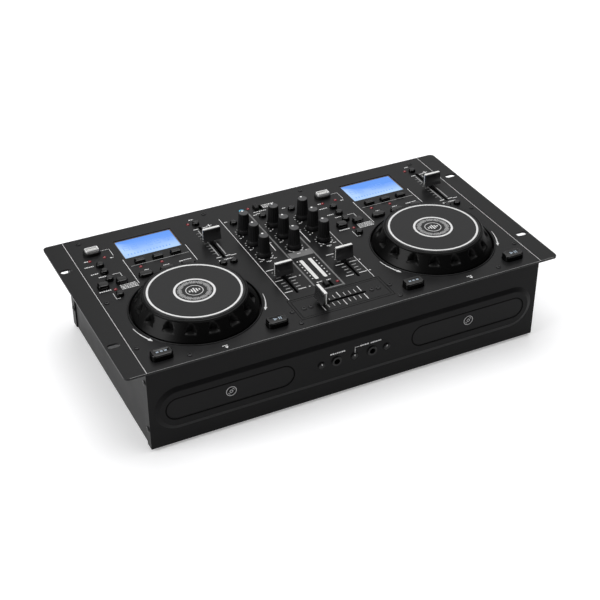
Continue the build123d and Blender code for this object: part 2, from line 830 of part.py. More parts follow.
def front_jack(x):
    """Quarter-inch socket: round nut on the pad, threaded sleeve through it, body behind."""
    front = inside_front + front_pot_gap
    nut = rod_y(x, pad_middle_z, jack_nut_radius, pad_y - jack_proud, pad_y)
    sleeve = rod_y(x, pad_middle_z, jack_radius + jack_wall, pad_y, front)
    body = block(x - jack_body[0] / 2, x + jack_body[0] / 2, front, front + jack_body[1],
                 pad_middle_z - jack_body[2] / 2, pad_middle_z + jack_body[2] / 2)
    bore = rod_y(x, pad_middle_z, jack_radius, pad_y - jack_proud, front + jack_body[1] - 2 * jack_wall)
    return nut + sleeve + body - bore


# ------------------------------------------------------------------ electrics
def boards():
    """Front, mixer and deck boards, with a push switch under each key and posts up to the plate."""
    front_half = inside_x - board_side_gap
    mixer_half = mixer_half_width + mixer_board_overlap
    back_end = inside_back - board_back_gap
    seam = plate_front + board_seam
    parts = [block(-front_half, front_half, inside_front + board_front_gap, seam, board_under, board_top),
             block(-mixer_half, mixer_half, seam + board_seam_gap, back_end, board_under, board_top)]
    for sign in SIDES.values():
        ends = (sign * deck_x - deck_board_inner, sign * deck_x + deck_board_outer)
        parts.append(block(*ends, jog_y + deck_board_front, back_end, board_under, board_top))
    for x, y in post_screws:
        pillar = post(x, y, board_post_radius, board_top, plate_under)
        parts[0] += pillar - post(x, y, screw_radius, plate_under - post_screw_depth, plate_under)
    for outline, size, (x, y) in all_key_cells():
        switch = block_at(x, y, switch_size, switch_size, board_top, board_top + switch_height)
        for i, board in enumerate(parts):
            box = board.bounding_box()
            if box.min.X < x < box.max.X and box.min.Y < y < box.max.Y:
                parts[i] = board + switch
    return parts


def slide_body(place):
    top = plate_under - slide_drop - key_gap
    width, depth = slide_opening[0] + slide_body_margin, slide_opening[1] + slide_body_margin
    return block_at(place[0], place[1], width, depth, board_top, top)


def display(x):
    """Display module on its board, with the glass set back under the plate."""
    width, depth = display_size
    return block_at(x, display_y, width + 2 * display_rim, depth + 2 * display_rim, board_top, plate_under)


def usb_socket(x):
    """Oval collar on the plate with the metal mouth standing out of it."""
    y = plate_back + usb_place[1]
    collar = slab(SlotOverall(*usb_collar), x, y, plate_top, plate_top + usb_collar_height)
    collar = chamfer(collar.edges().group_by(Axis.Z)[-1], 0.8)
    shell_outline = RectangleRounded(usb_shell[0] - 2 * usb_play, usb_shell[1] - 2 * usb_play, 0.8)
    shell = slab(shell_outline, x, y, plate_top - usb_under, plate_top + usb_rise)
    mouth = slab(RectangleRounded(*usb_mouth, 0.5), x, y,
                 plate_top + usb_rise - usb_depth, plate_top + usb_rise)
    return collar + shell - mouth


def lenses():
    return [post(x, y, lens_radius, board_top, plate_top + lens_proud) for x, y in lamp_places()]


def meter_outline(grow):
    return RectangleRounded(meter_size[0] + 2 * grow, meter_size[1] + 2 * grow, meter_corner + grow)


def meter_bars():
    return [slab(meter_outline(0), x, y, board_top, plate_top) for x, y in meter_places()]


def phono_heights():
    return [case_floor + phono_low + row * phono_pitch for row in range(2)]


def phono_block_at(x):
    middle = sum(phono_heights()) / 2
    shape = block(x - phono_block[0] / 2, x + phono_block[0] / 2, inside_back - phono_block[1], inside_back,
                  middle - phono_block[2] / 2, middle + phono_block[2] / 2)
    for z in phono_heights():
        shape += rod_y(x, z, phono_radius, inside_back, back_y + phono_length)
        shape -= rod_y(x, z, phono_bore, back_y - 4.0, back_y + phono_length)
    return shape


def inlet_middle():
    return case_floor + inlet_height


def inlet_shell(grow):
    return Rectangle(inlet_mouth[0] + 2 * (inlet_wall + grow), inlet_mouth[1] + 2 * (inlet_wall + grow))


def mains_inlet():
    z = inlet_middle()
    outer = back_y + inlet_flange_thickness
    shell = upright(inlet_shell(0), inlet_x, z, inside_back - inlet_depth - inlet_wall, back_y)
    rim = upright(RectangleRounded(*inlet_flange, 2.0), inlet_x, z, back_y, outer)
    cavity = upright(RectangleRounded(*inlet_mouth, 2.5), inlet_x, z, inside_back - inlet_depth, outer)
    return shell + rim - cavity


def rocker_shell(grow):
    wall = rocker_gap + inlet_wall + grow
    return Rectangle(rocker_size[0] + 2 * wall, rocker_size[1] + 2 * wall)


def rocker_pin(radius, length):
    return Pos(rocker_x, back_y - rocker_pin_inset, inlet_middle()) * Rot(0, 90, 0) * Cylinder(radius, length)


def rocker_frame():
    """Housing of the mains switch, with the bearing holes of its rocker."""
    z = inlet_middle()
    outer = back_y + rocker_rim
    rim_wall = rocker_gap + inlet_wall + rocker_rim_overlap
    shell = upright(rocker_shell(0), rocker_x, z, inside_back - rocker_depth, back_y)
    rim = upright(RectangleRounded(rocker_size[0] + 2 * rim_wall, rocker_size[1] + 2 * rim_wall, 1.5),
                  rocker_x, z, back_y, outer)
    well = Rectangle(rocker_size[0] + 2 * rocker_gap, rocker_size[1] + 2 * rocker_gap)
    cavity = upright(well, rocker_x, z, inside_back - rocker_depth + inlet_wall, outer)
    return shell + rim - cavity - rocker_pin(rocker_pin_radius + running_fit,
                                             rocker_size[0] + 2 * rocker_gap + 1.25 * inlet_wall)


def rocker():
    """Two-faced rocker on its pin, resting with the lower half pressed in."""
    half = rocker_size[1] / 2 - 0.8
    dip = half * math.tan(math.radians(rocker_tilt)) / 2
    heel = 0.75 * half
    profile = Polyline((-half, rocker_face), (0, rocker_face - dip), (half, rocker_face),
                       (heel, -rocker_back), (-heel, -rocker_back), close=True)
    body = Rot(0, 0, 180) * Rot(90, 0, 90) * extrude(make_face(profile), rocker_size[0] / 2, both=True)
    tilted = Pos(rocker_x, back_y - rocker_pin_inset, inlet_middle()) * Rot(-rocker_tilt, 0, 0) * body
    return tilted + rocker_pin(rocker_pin_radius, rocker_size[0] + 2 * rocker_gap + inlet_wall)


def power_supply():
    """Supply board on short posts, with its transformer, heat sink and two capacitors."""
    width, depth = supply_size
    y1 = inside_back - supply_from_back
    y0 = y1 - depth
    under = floor_top + supply_lift
    top = under + board_thickness
    shape = block(-width / 2, width / 2, y0, y1, under, top)
    for x in (-width / 2 + supply_post_inset, width / 2 - supply_post_inset):
        for y in (y0 + supply_post_inset, y1 - supply_post_inset):
            shape += post(x, y, supply_post_radius, floor_top, under)
    middle = (y0 + y1) / 2
    for size in (transformer_core, transformer_coil):
        shape += block_at(transformer_x, middle - transformer_shift, size[0], size[1], top, top + size[2])
    shape += block_at(heat_sink_x, middle, heat_sink[0], heat_sink[1], top, top + heat_sink[2])
    for dy in capacitor_from_middle:
        shape += post(capacitor_x, middle + dy, capacitor_radius, top, top + capacitor_height)
    return shape


# ------------------------------------------------------------------ disc drawers
def fascia(x):
    face = SlotOverall(fascia_width, fascia_height)
    return upright(face, x, pad_middle_z, fascia_y, tray_front)


def tray(x):
    """Disc tray: two stepped recesses, a window for the hub and the laser, rims that run in the rails."""
    plate = slab(Rectangle(tray_width, tray_length), x, tray_front + tray_length / 2, tray_under, tray_top)
    plate = fillet(plate.edges().filter_by(Axis.Z).group_by(Axis.Y)[-1], tray_corner)
    plate -= post(x, disc_y, disc_radius + disc_play, tray_top - disc_recess, tray_top)
    step = disc_recess + small_disc_recess
    plate -= post(x, disc_y, small_disc_radius + disc_play, tray_top - step, tray_top)
    laser_length = laser_window_length + hub_window_radius
    window = Circle(hub_window_radius)
    window += Pos(0, laser_length / 2) * Rectangle(laser_window_width, laser_length)
    return plate - slab(window, x, disc_y, tray_under, tray_top)


def drive_frame(x):
    """Loader: bed plate on posts, slotted rails for the tray, spindle motor, and the disc clamp's bridge."""
    y0 = inside_front + frame_from_front
    y1 = y0 + tray_length + frame_tail
    rail_under, rail_over = tray_under - tray_gap, tray_top + tray_gap
    wall_in = tray_width / 2 + rail_play
    wall_out = wall_in + rail_wall
    bridge_y = (disc_y - bridge_half_width, disc_y + bridge_half_width)
    frame = block(x - wall_out, x + wall_out, y0, y1, bed_under, bed_top)
    for sign in (-1, 1):
        wall = sorted((x + sign * wall_in, x + sign * wall_out))
        ledge = sorted((x + sign * (wall_in - rail_ledge), x + sign * wall_out))
        lip = sorted((x + sign * (wall_in - rail_cap), x + sign * wall_out))
        frame += block(*wall, y0, y1, bed_top, rail_over + rail_cap)
        frame += block(*ledge, y0, y1, bed_top, rail_under)
        frame += block(*lip, y0, y1, rail_over, rail_over + rail_cap)
        frame += block(*wall, *bridge_y, tray_top, bridge_under + bridge_thickness)
        post_x = x + sign * (wall_out - frame_post_inset / 2)
        for y in (y0 + frame_post_inset, y1 - frame_post_inset):
            frame += post(post_x, y, frame_post_radius, floor_top, bed_under)
    frame += block(x - wall_out, x + wall_out, *bridge_y, bridge_under, bridge_under + bridge_thickness)
    frame += post(x, disc_y, clamp_radius, bridge_under - clamp_drop, bridge_under)
    frame += post(x, disc_y, motor_radius, bed_under - motor_height, bed_under)
    return frame - post(x, disc_y, spindle_radius + running_fit, bed_under - motor_height + 1.0, bed_top)


def spindle(x):
    """Motor shaft with the turntable and the cone that centres a disc."""
    table_under = bed_top + turntable_gap
    table_top = table_under + turntable_thickness
    table = post(x, disc_y, turntable_radius, table_under, table_top)
    cone_height = tray_under - tray_gap - table_top
    cone = Pos(x, disc_y, table_top + cone_height / 2) * Cone(cone_foot_radius, cone_top_radius, cone_height)
    shaft = post(x, disc_y, spindle_radius, bed_under - motor_height + 2.0, table_top)
    return table + cone + shaft


# ------------------------------------------------------------------ the assembly
def case_nodes():
    return {
        "top_plate": [top_plate()],
        "chassis": [chassis()],
        "front_panel": [front_panel()],
        "rear_panel": [rear_panel()],
        "rubber_feet": feet(),
        "screws": screws(),
        "crossfader_plate": [crossfader_plate()],
        "indicator_lenses": lenses(),
        "level_meter_bars": meter_bars(),
        "circuit_boards": boards() + [slide_body(place) for place in slide_switches.values()],
        "power_supply": [power_supply()],
        "front_jacks": [front_jack(sign * jack_x) for sign in SIDES.values()],
        "rear_sockets": [phono_block_at(x) for x in phono_x] + [mains_inlet(), rocker_frame()],
        "fader_bodies": [fader_body(place, travel, way, end)
                         for name, place, travel, way, rest, end in fader_cells()],
        "potentiometers": [potentiometer(x, y) for x, y in knob_places()]
                          + [front_pot_body(x) for x in front_knob_x],
        "displays": [display(sign * deck_x) for sign in SIDES.values()],
        "usb_sockets": [usb_socket(sign * deck_x + usb_place[0]) for sign in SIDES.values()],
        "jog_wells": [jog_well(sign * deck_x) for sign in SIDES.values()],
        "drive_frames": [drive_frame(sign * drawer_x) for sign in SIDES.values()],
        "power_rocker": [rocker()],
    }


def deck_nodes(side):
    x = SIDES[side] * deck_x
    drawer = SIDES[side] * drawer_x
    nodes = {
        "jog_grip": [jog_grip(x)],
        "jog_disc": [jog_disc(x)],
        "disc_tray": [tray(drawer)],
        "tray_fascia": [fascia(drawer)],
        "disc_spindle": [spindle(drawer)],
        "cue_key": [key(key_outline, start_key_size, start_key_place(side, cue_key), start_key_crown)],
        "play_key": [key(key_outline, start_key_size, start_key_place(side, play_key), start_key_crown)],
    }
    for name, rows in deck_keys(side).items():
        nodes[name] = key_group(rows)
    return {side + "_" + name: solids for name, solids in nodes.items()}


def control_nodes():
    nodes = {name: [fader_cap(place, way, rest)] for name, place, travel, way, rest, end in fader_cells()}
    columns = ("left", "middle", "right")
    rows = ("top", "middle", "bottom")
    names = ["%s_%s_knob" % (column, row) for column in columns for row in rows]
    for name, place in zip(names, knob_places()):
        nodes[name] = [knob(*place)]
    for column, place, x in zip(columns, mixer_button_places(), front_knob_x):
        nodes[column + "_mixer_button"] = [key(key_outline, cue_button_size, place)]
        nodes[column + "_front_knob"] = [front_knob(x)]
    for name, place in slide_switches.items():
        nodes[name] = [slide_lever_node(place)]
    return nodes


def main():
    os.makedirs("parts", exist_ok=True)
    nodes = {**case_nodes(), **deck_nodes("left"), **deck_nodes("right"), **control_nodes()}
    for name, solids in nodes.items():
        shape = solids[0] if len(solids) == 1 else Compound(children=solids)
        export_step(shape, "parts/%s.step" % name)


main()
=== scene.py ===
import bpy
import bmesh
import json
import math
import random
from mathutils import Matrix, Vector

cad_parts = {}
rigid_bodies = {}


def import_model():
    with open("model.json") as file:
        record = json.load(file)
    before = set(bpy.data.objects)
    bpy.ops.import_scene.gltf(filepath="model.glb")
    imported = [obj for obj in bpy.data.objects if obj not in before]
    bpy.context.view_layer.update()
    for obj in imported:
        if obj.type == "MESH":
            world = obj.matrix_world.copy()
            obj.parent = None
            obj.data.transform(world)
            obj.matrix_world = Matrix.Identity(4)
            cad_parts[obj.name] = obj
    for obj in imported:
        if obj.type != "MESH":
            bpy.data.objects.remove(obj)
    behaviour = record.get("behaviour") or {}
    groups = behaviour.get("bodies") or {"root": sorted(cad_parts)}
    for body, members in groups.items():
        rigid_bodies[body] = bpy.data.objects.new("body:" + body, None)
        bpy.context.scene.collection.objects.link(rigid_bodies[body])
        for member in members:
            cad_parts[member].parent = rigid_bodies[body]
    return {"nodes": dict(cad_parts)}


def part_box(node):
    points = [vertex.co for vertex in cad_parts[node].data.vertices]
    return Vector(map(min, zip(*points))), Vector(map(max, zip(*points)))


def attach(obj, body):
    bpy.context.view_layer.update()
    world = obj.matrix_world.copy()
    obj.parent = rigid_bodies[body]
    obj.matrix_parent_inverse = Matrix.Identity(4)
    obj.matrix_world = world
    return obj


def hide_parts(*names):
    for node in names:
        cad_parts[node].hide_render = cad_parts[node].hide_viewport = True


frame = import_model()
for stray in [o for o in bpy.context.scene.objects if o.name in ("Cube", "Light", "Camera")]:
    bpy.data.objects.remove(stray)
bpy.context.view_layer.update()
mm = 0.001
nodes = frame["nodes"]
decks = {"left": -1, "right": 1}

# ---------------------------------------------------------------- floor, light and camera
# The unit stands on a white sweep under large soft lamps, and is seen from its front
# left corner, from above, with a long lens.
floor_side = 9.0
floor_drop = 0.0002
mesh = bpy.data.meshes.new("floor")
half = floor_side / 2
mesh.from_pydata([(-half, -half, -floor_drop), (half, -half, -floor_drop),
                  (half, half, -floor_drop), (-half, half, -floor_drop)], [], [(0, 1, 2, 3)])
floor = bpy.data.objects.new("floor", mesh)
bpy.context.scene.collection.objects.link(floor)

paper = bpy.data.materials.new("white sweep")
paper.use_nodes = True
paper_skin = paper.node_tree.nodes["Principled BSDF"].inputs
paper_skin["Base Color"].default_value = (0.86, 0.86, 0.87, 1)
paper_skin["Roughness"].default_value = 0.9
paper_skin["Specular IOR Level"].default_value = 0.1
paper_skin["Emission Color"].default_value = (1, 1, 1, 1)
paper_skin["Emission Strength"].default_value = 0.35
floor.data.materials.append(paper)

# The room is bright above and behind the unit, and dark on the side it is seen from.
world = bpy.data.worlds.new("studio")
bpy.context.scene.world = world
world.use_nodes = True
room = world.node_tree
around = room.nodes.new("ShaderNodeTexCoord")
dark_side = room.nodes.new("ShaderNodeVectorMath")
dark_side.operation = "DOT_PRODUCT"
dark_side.inputs[1].default_value = (-0.42, -0.86, 0.30)
room.links.new(around.outputs["Generated"], dark_side.inputs[0])
room_light = room.nodes.new("ShaderNodeMapRange")
room_light.interpolation_type = "SMOOTHSTEP"
room_light.inputs["From Min"].default_value = -0.3
room_light.inputs["From Max"].default_value = 0.4
room_light.inputs["To Min"].default_value = 0.30
room_light.inputs["To Max"].default_value = 0.03
room.links.new(dark_side.outputs["Value"], room_light.inputs["Value"])
room.links.new(room_light.outputs["Result"], room.nodes["Background"].inputs["Strength"])
bpy.context.scene.view_settings.view_transform = "Standard"


def soft_lamp(name, place, aim, size, power):
    """A large rectangular lamp that looks from `place` at `aim`."""
    light = bpy.data.lights.new(name, "AREA")
    light.shape = "RECTANGLE"
    light.size, light.size_y = size
    light.energy = power
    lamp = bpy.data.objects.new(name, light)
    bpy.context.scene.collection.objects.link(lamp)
    lamp.location = place
    lamp.rotation_euler = (Vector(aim) - Vector(place)).to_track_quat("-Z", "Y").to_euler()


soft_lamp("overhead", (0.3, 0.2, 2.2), (0, 0, 0), (2.6, 2.0), 50)
soft_lamp("back", (1.0, 1.7, 1.25), (0, 0, 0.08), (2.0, 1.3), 6.5)
soft_lamp("left", (-2.2, 0.0, 1.3), (-0.3, -0.2, 0), (1.6, 1.6), 34)

view_azimuth = math.radians(-26.182)
view_elevation = math.radians(34.030)
view_roll = math.radians(-0.113)
camera_place = Vector((-0.51504, -1.05017, 0.82613))
sensor_width = 36
focal_share = 1300.1 / 600
back = Vector((math.sin(view_azimuth) * math.cos(view_elevation),
               -math.cos(view_azimuth) * math.cos(view_elevation), math.sin(view_elevation)))
right = Vector((math.cos(view_azimuth), math.sin(view_azimuth), 0))
up = back.cross(right)
turn = Matrix.Rotation(view_roll, 3, back)
right, up = turn @ right, turn @ up
camera = bpy.data.objects.new("camera", bpy.data.cameras.new("camera"))
bpy.context.scene.collection.objects.link(camera)
camera.matrix_world = Matrix.Translation(camera_place) @ Matrix((right, up, back)).transposed().to_4x4()
camera.data.sensor_width = sensor_width
camera.data.lens = sensor_width * focal_share
bpy.context.scene.camera = camera

# ---------------------------------------------------------------- case and plates
# Folded sheet steel with black powder coat: a floor with side walls, a front with its pressed
# pad, a back, and the rack plate screwed on top. The coat is satin, with a fine orange peel.
plate_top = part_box("top_plate")[1].z
plate_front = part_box("top_plate")[0].y
plate_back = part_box("top_plate")[1].y


def shader(name):
    """A new material and its principled shader."""
    material = bpy.data.materials.new(name)
    material.use_nodes = True
    return material, material.node_tree.nodes["Principled BSDF"]


patch_scale, sheen_play, grain_depth = 35, 0.04, 0.05 * mm


def surface(name, color, rough, gloss=0.5, grain=0.0, grain_size=0.4 * mm, patch=0.0, edge=0.0,
            coat=0.0, metal=0.0, glow=0.0):
    """A finish: colour that varies a little in soft patches, a fine grain in the surface,
    patches of other roughness, and edges rounded by `edge`."""
    material, skin = shader(name)
    tree = material.node_tree
    link = tree.links.new
    skin.inputs["Metallic"].default_value = metal
    skin.inputs["Specular IOR Level"].default_value = gloss
    skin.inputs["Coat Weight"].default_value = coat
    skin.inputs["Coat Roughness"].default_value = 0.08
    place = tree.nodes.new("ShaderNodeTexCoord")
    soft = tree.nodes.new("ShaderNodeTexNoise")
    soft.inputs["Scale"].default_value = patch_scale
    soft.inputs["Detail"].default_value = 4
    link(place.outputs["Object"], soft.inputs["Vector"])
    tone = tree.nodes.new("ShaderNodeMix")
    tone.data_type = "RGBA"
    tone.inputs["A"].default_value = [c * (1 - patch) for c in color] + [1]
    tone.inputs["B"].default_value = [min(1, c * (1 + patch)) for c in color] + [1]
    link(soft.outputs["Fac"], tone.inputs["Factor"])
    link(tone.outputs["Result"], skin.inputs["Base Color"])
    sheen = tree.nodes.new("ShaderNodeMapRange")
    sheen.inputs["To Min"].default_value = rough - sheen_play
    sheen.inputs["To Max"].default_value = rough + sheen_play
    link(soft.outputs["Fac"], sheen.inputs["Value"])
    link(sheen.outputs["Result"], skin.inputs["Roughness"])
    if glow:
        skin.inputs["Emission Color"].default_value = (*color, 1)
        skin.inputs["Emission Strength"].default_value = glow
    normal = None
    if edge:
        bevel = tree.nodes.new("ShaderNodeBevel")
        bevel.samples = 4
        bevel.inputs["Radius"].default_value = edge
        normal = bevel.outputs["Normal"]
    if grain:
        fine = tree.nodes.new("ShaderNodeTexNoise")
        fine.inputs["Scale"].default_value = 1 / grain_size
        fine.inputs["Detail"].default_value = 2
        link(place.outputs["Object"], fine.inputs["Vector"])
        bump = tree.nodes.new("ShaderNodeBump")
        bump.inputs["Strength"].default_value = grain
        bump.inputs["Distance"].default_value = grain_depth
        link(fine.outputs["Fac"], bump.inputs["Height"])
        if normal:
            link(normal, bump.inputs["Normal"])
        normal = bump.outputs["Normal"]
    if normal:
        link(normal, skin.inputs["Normal"])
    return material


def finish_node(name, material):
    """A finish in place of the plain one of a CAD node."""
    nodes[name].data.materials.clear()
    nodes[name].data.materials.append(material)


coat_top = surface("black powder coat", (0.0094, 0.0094, 0.0098), 0.34, gloss=0.19, grain=0.12,
                   patch=0.08, edge=0.5 * mm)
coat_case = surface("black coat of the case", (0.0045, 0.0045, 0.0048), 0.38, gloss=0.09, grain=0.12,
                    patch=0.08, edge=0.4 * mm)
for name in ("top_plate", "crossfader_plate"):
    finish_node(name, coat_top)
for name in ("chassis", "front_panel", "rear_panel"):
    finish_node(name, coat_case)
finish_node("rubber_feet", surface("foot rubber", (0.02, 0.02, 0.02), 0.8, gloss=0.3, grain=0.3,
                                   patch=0.1))


# ---------------------------------------------------------------- screws
# Black oxide pan head screws with a cross recess. They hold the rack plate, the fader plate
# and the strips of the front and back sheet on the side walls.
class Tree:
    """A Geometry Nodes tree under construction, with named inputs."""

    def __init__(self, name, **inputs):
        self.group = bpy.data.node_groups.new(name, "GeometryNodeTree")
        sockets = self.group.interface
        sockets.new_socket("Geometry", in_out="INPUT", socket_type="NodeSocketGeometry")
        sockets.new_socket("Geometry", in_out="OUTPUT", socket_type="NodeSocketGeometry")
        for label, kind in inputs.items():
            sockets.new_socket(label, in_out="INPUT", socket_type="NodeSocket" + kind)
        self.inputs = self.group.nodes.new("NodeGroupInput").outputs
        self.output = self.group.nodes.new("NodeGroupOutput")

    def node(self, kind, *values, **settings):
        """One node; values fill its sockets by order, or by name where given as pairs."""
        made = self.group.nodes.new(kind)
        for setting, value in settings.items():
            setattr(made, setting, value)
        for position, value in enumerate(values):
            named = isinstance(value, tuple) and len(value) == 2 and isinstance(value[0], str)
            key, value = value if named else (position, value)
            if value is None:
                continue
            if isinstance(value, bpy.types.NodeSocket):
                self.group.links.new(value, made.inputs[key])
            else:
                made.inputs[key].default_value = value
        return made

    def math(self, operation, *values):
        """The result of one sum on numbers or sockets."""
        return self.node("ShaderNodeMath", *values, operation=operation).outputs[0]

    def attribute(self, name, kind="FLOAT"):
        """The value that the mesh holds under this name."""
        return self.node("GeometryNodeInputNamedAttribute", name, data_type=kind).outputs["Attribute"]

    def finish(self, geometry, material):
        """Ends the tree: instances made real, then the material set."""
        real = self.node("GeometryNodeRealizeInstances", geometry).outputs[0]
        painted = self.node("GeometryNodeSetMaterial", real, ("Material", material)).outputs[0]
        self.group.links.new(painted, self.output.inputs[0])
        return self.group


def new_object(name, mesh):
    """An object of the scene that shows the mesh."""
    piece = bpy.data.objects.new(name, mesh)
    bpy.context.scene.collection.objects.link(piece)
    return piece


def grow(name, group, start=None, **values):
    """Runs a tree on a start mesh and returns the plain mesh it makes, as an object."""
    seed = new_object(name + "_seed", start or bpy.data.meshes.new(name + "_seed"))
    modifier = seed.modifiers.new("grow", "NODES")
    modifier.node_group = group
    for item in group.interface.items_tree:
        if item.item_type == "SOCKET" and item.in_out == "INPUT" and item.name in values:
            modifier[item.identifier] = values[item.name]
    grown = bpy.data.meshes.new_from_object(seed.evaluated_get(bpy.context.evaluated_depsgraph_get()))
    seed.modifiers.remove(modifier)
    bpy.data.objects.remove(seed)
    grown.name = name
    return new_object(name, grown)


def settle(piece, body, sharp=35, replaced=()):
    shape = bmesh.new()
    shape.from_mesh(piece.data)
    bmesh.ops.remove_doubles(shape, verts=shape.verts, dist=0.002 * mm)
    bmesh.ops.recalc_face_normals(shape, faces=shape.faces)
    shape.to_mesh(piece.data)
    shape.free()
    piece.data.shade_smooth()
    piece.data.set_sharp_from_angle(angle=math.radians(sharp))
    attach(piece, body)
    if replaced:
        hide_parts(*replaced)
    return piece


def islands(name):
    """The lowest and highest corner of every separate solid in a CAD node."""
    shape = bmesh.new()
    shape.from_mesh(nodes[name].data)
    bmesh.ops.remove_doubles(shape, verts=shape.verts, dist=0.001 * mm)
    left, found = set(shape.verts), []
    while left:
        queue = [left.pop()]
        group = list(queue)
        while queue:
            for edge in queue.pop().link_edges:
                for vert in edge.verts:
                    if vert in left:
                        left.remove(vert)
                        queue.append(vert)
                        group.append(vert)
        found.append((Vector([min(v.co[i] for v in group) for i in range(3)]),
                      Vector([max(v.co[i] for v in group) for i in range(3)])))
    shape.free()
    return sorted(found, key=lambda pair: tuple(round(c, 5) for c in pair[0]))


def ring_skin(name, rings, material, close=False):
    """A skin over rings with equal counts of points, in metres, with a face at each end
    or, where the rings close, joined from the last to the first."""
    shape = bmesh.new()
    loops = [[shape.verts.new(point) for point in ring] for ring in rings]
    for low, high in zip(loops, loops[1:] + loops[:1] if close else loops[1:]):
        for i, vert in enumerate(low):
            j = (i + 1) % len(low)
            shape.faces.new((vert, low[j], high[j], high[i]))
    if not close:
        shape.faces.new(loops[0])
        shape.faces.new(loops[-1])
    mesh = bpy.data.meshes.new(name)
    shape.to_mesh(mesh)
    shape.free()
    mesh.materials.append(material)
    return mesh


def joined(name, meshes):
    """Several meshes of one finish as one mesh."""
    shape = bmesh.new()
    for mesh in meshes:
        shape.from_mesh(mesh)
    whole = bpy.data.meshes.new(name)
    shape.to_mesh(whole)
    shape.free()
    whole.materials.append(meshes[0].materials[0])
    return whole


def circle(radius, z, count, x=0.0, y=0.0):
    """Points of a level circle, in the measure of its radius."""
    angles = [math.tau * i / count for i in range(count)]
    return [(x + radius * math.cos(a), y + radius * math.sin(a), z) for a in angles]


# Copies of one small part stand on the points of a start mesh, each turned by its own angles.
stand = Tree("parts on points", Part="Object", Skin="Material")
part = stand.node("GeometryNodeObjectInfo", stand.inputs["Part"]).outputs["Geometry"]
copies = stand.node("GeometryNodeInstanceOnPoints", stand.inputs["Geometry"], ("Instance", part),
                    ("Rotation", stand.attribute("turn", "FLOAT_VECTOR"))).outputs[0]
stand.finish(copies, stand.inputs["Skin"])


def stand_parts(name, part_mesh, places, material):
    """One piece with a copy of the part at each place, a point and its turn in radians."""
    start = bpy.data.meshes.new(name)
    start.from_pydata([tuple(point) for point, angles in places], [], [])
    turns = start.attributes.new("turn", "FLOAT_VECTOR", "POINT")
    for i, (point, angles) in enumerate(places):
        turns.data[i].vector = angles
    model = new_object(name + "_part", part_mesh)
    piece = grow(name, stand.group, start, Part=model, Skin=material)
    bpy.data.objects.remove(model)
    return piece


screw_black = surface("black oxide screw", (0.02, 0.02, 0.021), 0.34, gloss=0.5, patch=0.2, grain=0.1,
                      metal=0.4)
head_height, shank_radius = 1.0 * mm, 1.3 * mm
plate_head, plate_shank, strip_head, strip_shank = 2.5 * mm, 4.9 * mm, 3.0 * mm, 1.2 * mm


def screw(radius, shank_length):
    """Pan head with its seat at z = 0, a cross recess in its top, and a plain shank below."""
    sides, height, recess_taper = 24, head_height, 0.8
    arm, tip, depth = 0.16 * radius, 0.55 * radius, 0.55 * height
    shape = bmesh.new()
    profile = [(shank_radius, -shank_length), (shank_radius, 0), (radius, 0), (radius, 0.45 * height),
               (0.93 * radius, 0.78 * height), (0.75 * radius, height)]
    loops = [[shape.verts.new(point) for point in circle(r, z, sides)] for r, z in profile]
    for low, high in zip(loops, loops[1:]):
        for i in range(sides):
            shape.faces.new((low[i], low[(i + 1) % sides], high[(i + 1) % sides], high[i]))
    shape.faces.new(loops[0])
    outline = [(tip, -arm), (tip, arm), (arm, arm), (arm, tip), (-arm, tip), (-arm, arm),
               (-tip, arm), (-tip, -arm), (-arm, -arm), (-arm, -tip), (arm, -tip), (arm, -arm)]
    rim = [shape.verts.new((x, y, height)) for x, y in outline]
    well = [shape.verts.new((recess_taper * x, recess_taper * y, height - depth)) for x, y in outline]
    count = len(outline)
    rim_edges = [shape.edges.new((rim[i], rim[(i + 1) % count])) for i in range(count)]
    top_edges = [shape.edges.get((loops[-1][i], loops[-1][(i + 1) % sides])) for i in range(sides)]
    bmesh.ops.triangle_fill(shape, edges=rim_edges + top_edges, use_beauty=True)
    for i in range(count):
        j = (i + 1) % count
        shape.faces.new((rim[i], rim[j], well[j], well[i]))
    shape.faces.new(well)
    mesh = bpy.data.meshes.new("screw")
    shape.to_mesh(mesh)
    shape.free()
    return mesh


draw = random.Random(7)
plate_screws, strip_screws = [], []
for low, high in islands("screws"):
    middle = (low + high) / 2
    if high.z > plate_top:
        plate_screws.append(((middle.x, middle.y, plate_top), (0, 0, draw.uniform(0, math.pi))))
    else:
        side = math.copysign(1, middle.x)
        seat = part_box("front_panel")[1].x * side
        strip_screws.append(((seat, middle.y, middle.z), (0, side * math.pi / 2, 0)))
settle(stand_parts("plate_screws", screw(plate_head, plate_shank), plate_screws, screw_black),
       "case", replaced=["screws"])
settle(stand_parts("strip_screws", screw(strip_head, strip_shank), strip_screws, screw_black),
       "case")

# ---------------------------------------------------------------- printed lines and marks
# Silk-screened white and grey ink on the rack plate and on the front: lines that frame each
# group of controls, scales beside the faders and knobs, and short dashes as labels.
# The same ribbons also draw painted light: a painted highlight along the plate's front edge, and painted
# shadow in the fader plate's seam and round the drawer fronts.
ink_height, ribbon_thickness = 0.06 * mm, 0.1
ink_layers, layer_step = 9, 0.06
white_ink = surface("white ink", (0.72, 0.72, 0.72), 0.55, patch=0.05)
grey_ink = surface("grey ink", (0.15, 0.15, 0.15), 0.55, patch=0.05)
faint_ink = surface("faint ink", (0.33, 0.33, 0.33), 0.55, patch=0.05)
blue_ink = surface("blue ink", (0.10, 0.42, 0.62), 0.5, patch=0.05)

# Each printed line is an edge that carries its width, swept as a flat ribbon of ink.
ribbon = Tree("printed line", Thickness="Float", Ink="Material")
line = ribbon.node("GeometryNodeMeshToCurve", ribbon.inputs["Geometry"]).outputs[0]
line = ribbon.node("GeometryNodeSetCurveNormal", line, mode="Z_UP").outputs[0]
section = ribbon.node("GeometryNodeCurvePrimitiveQuadrilateral", 1.0,
                      ribbon.inputs["Thickness"]).outputs[0]
swept = ribbon.node("GeometryNodeCurveToMesh", line, section, ("Scale", ribbon.attribute("width")),
                    ("Fill Caps", True)).outputs[0]
ribbon.finish(swept, ribbon.inputs["Ink"])
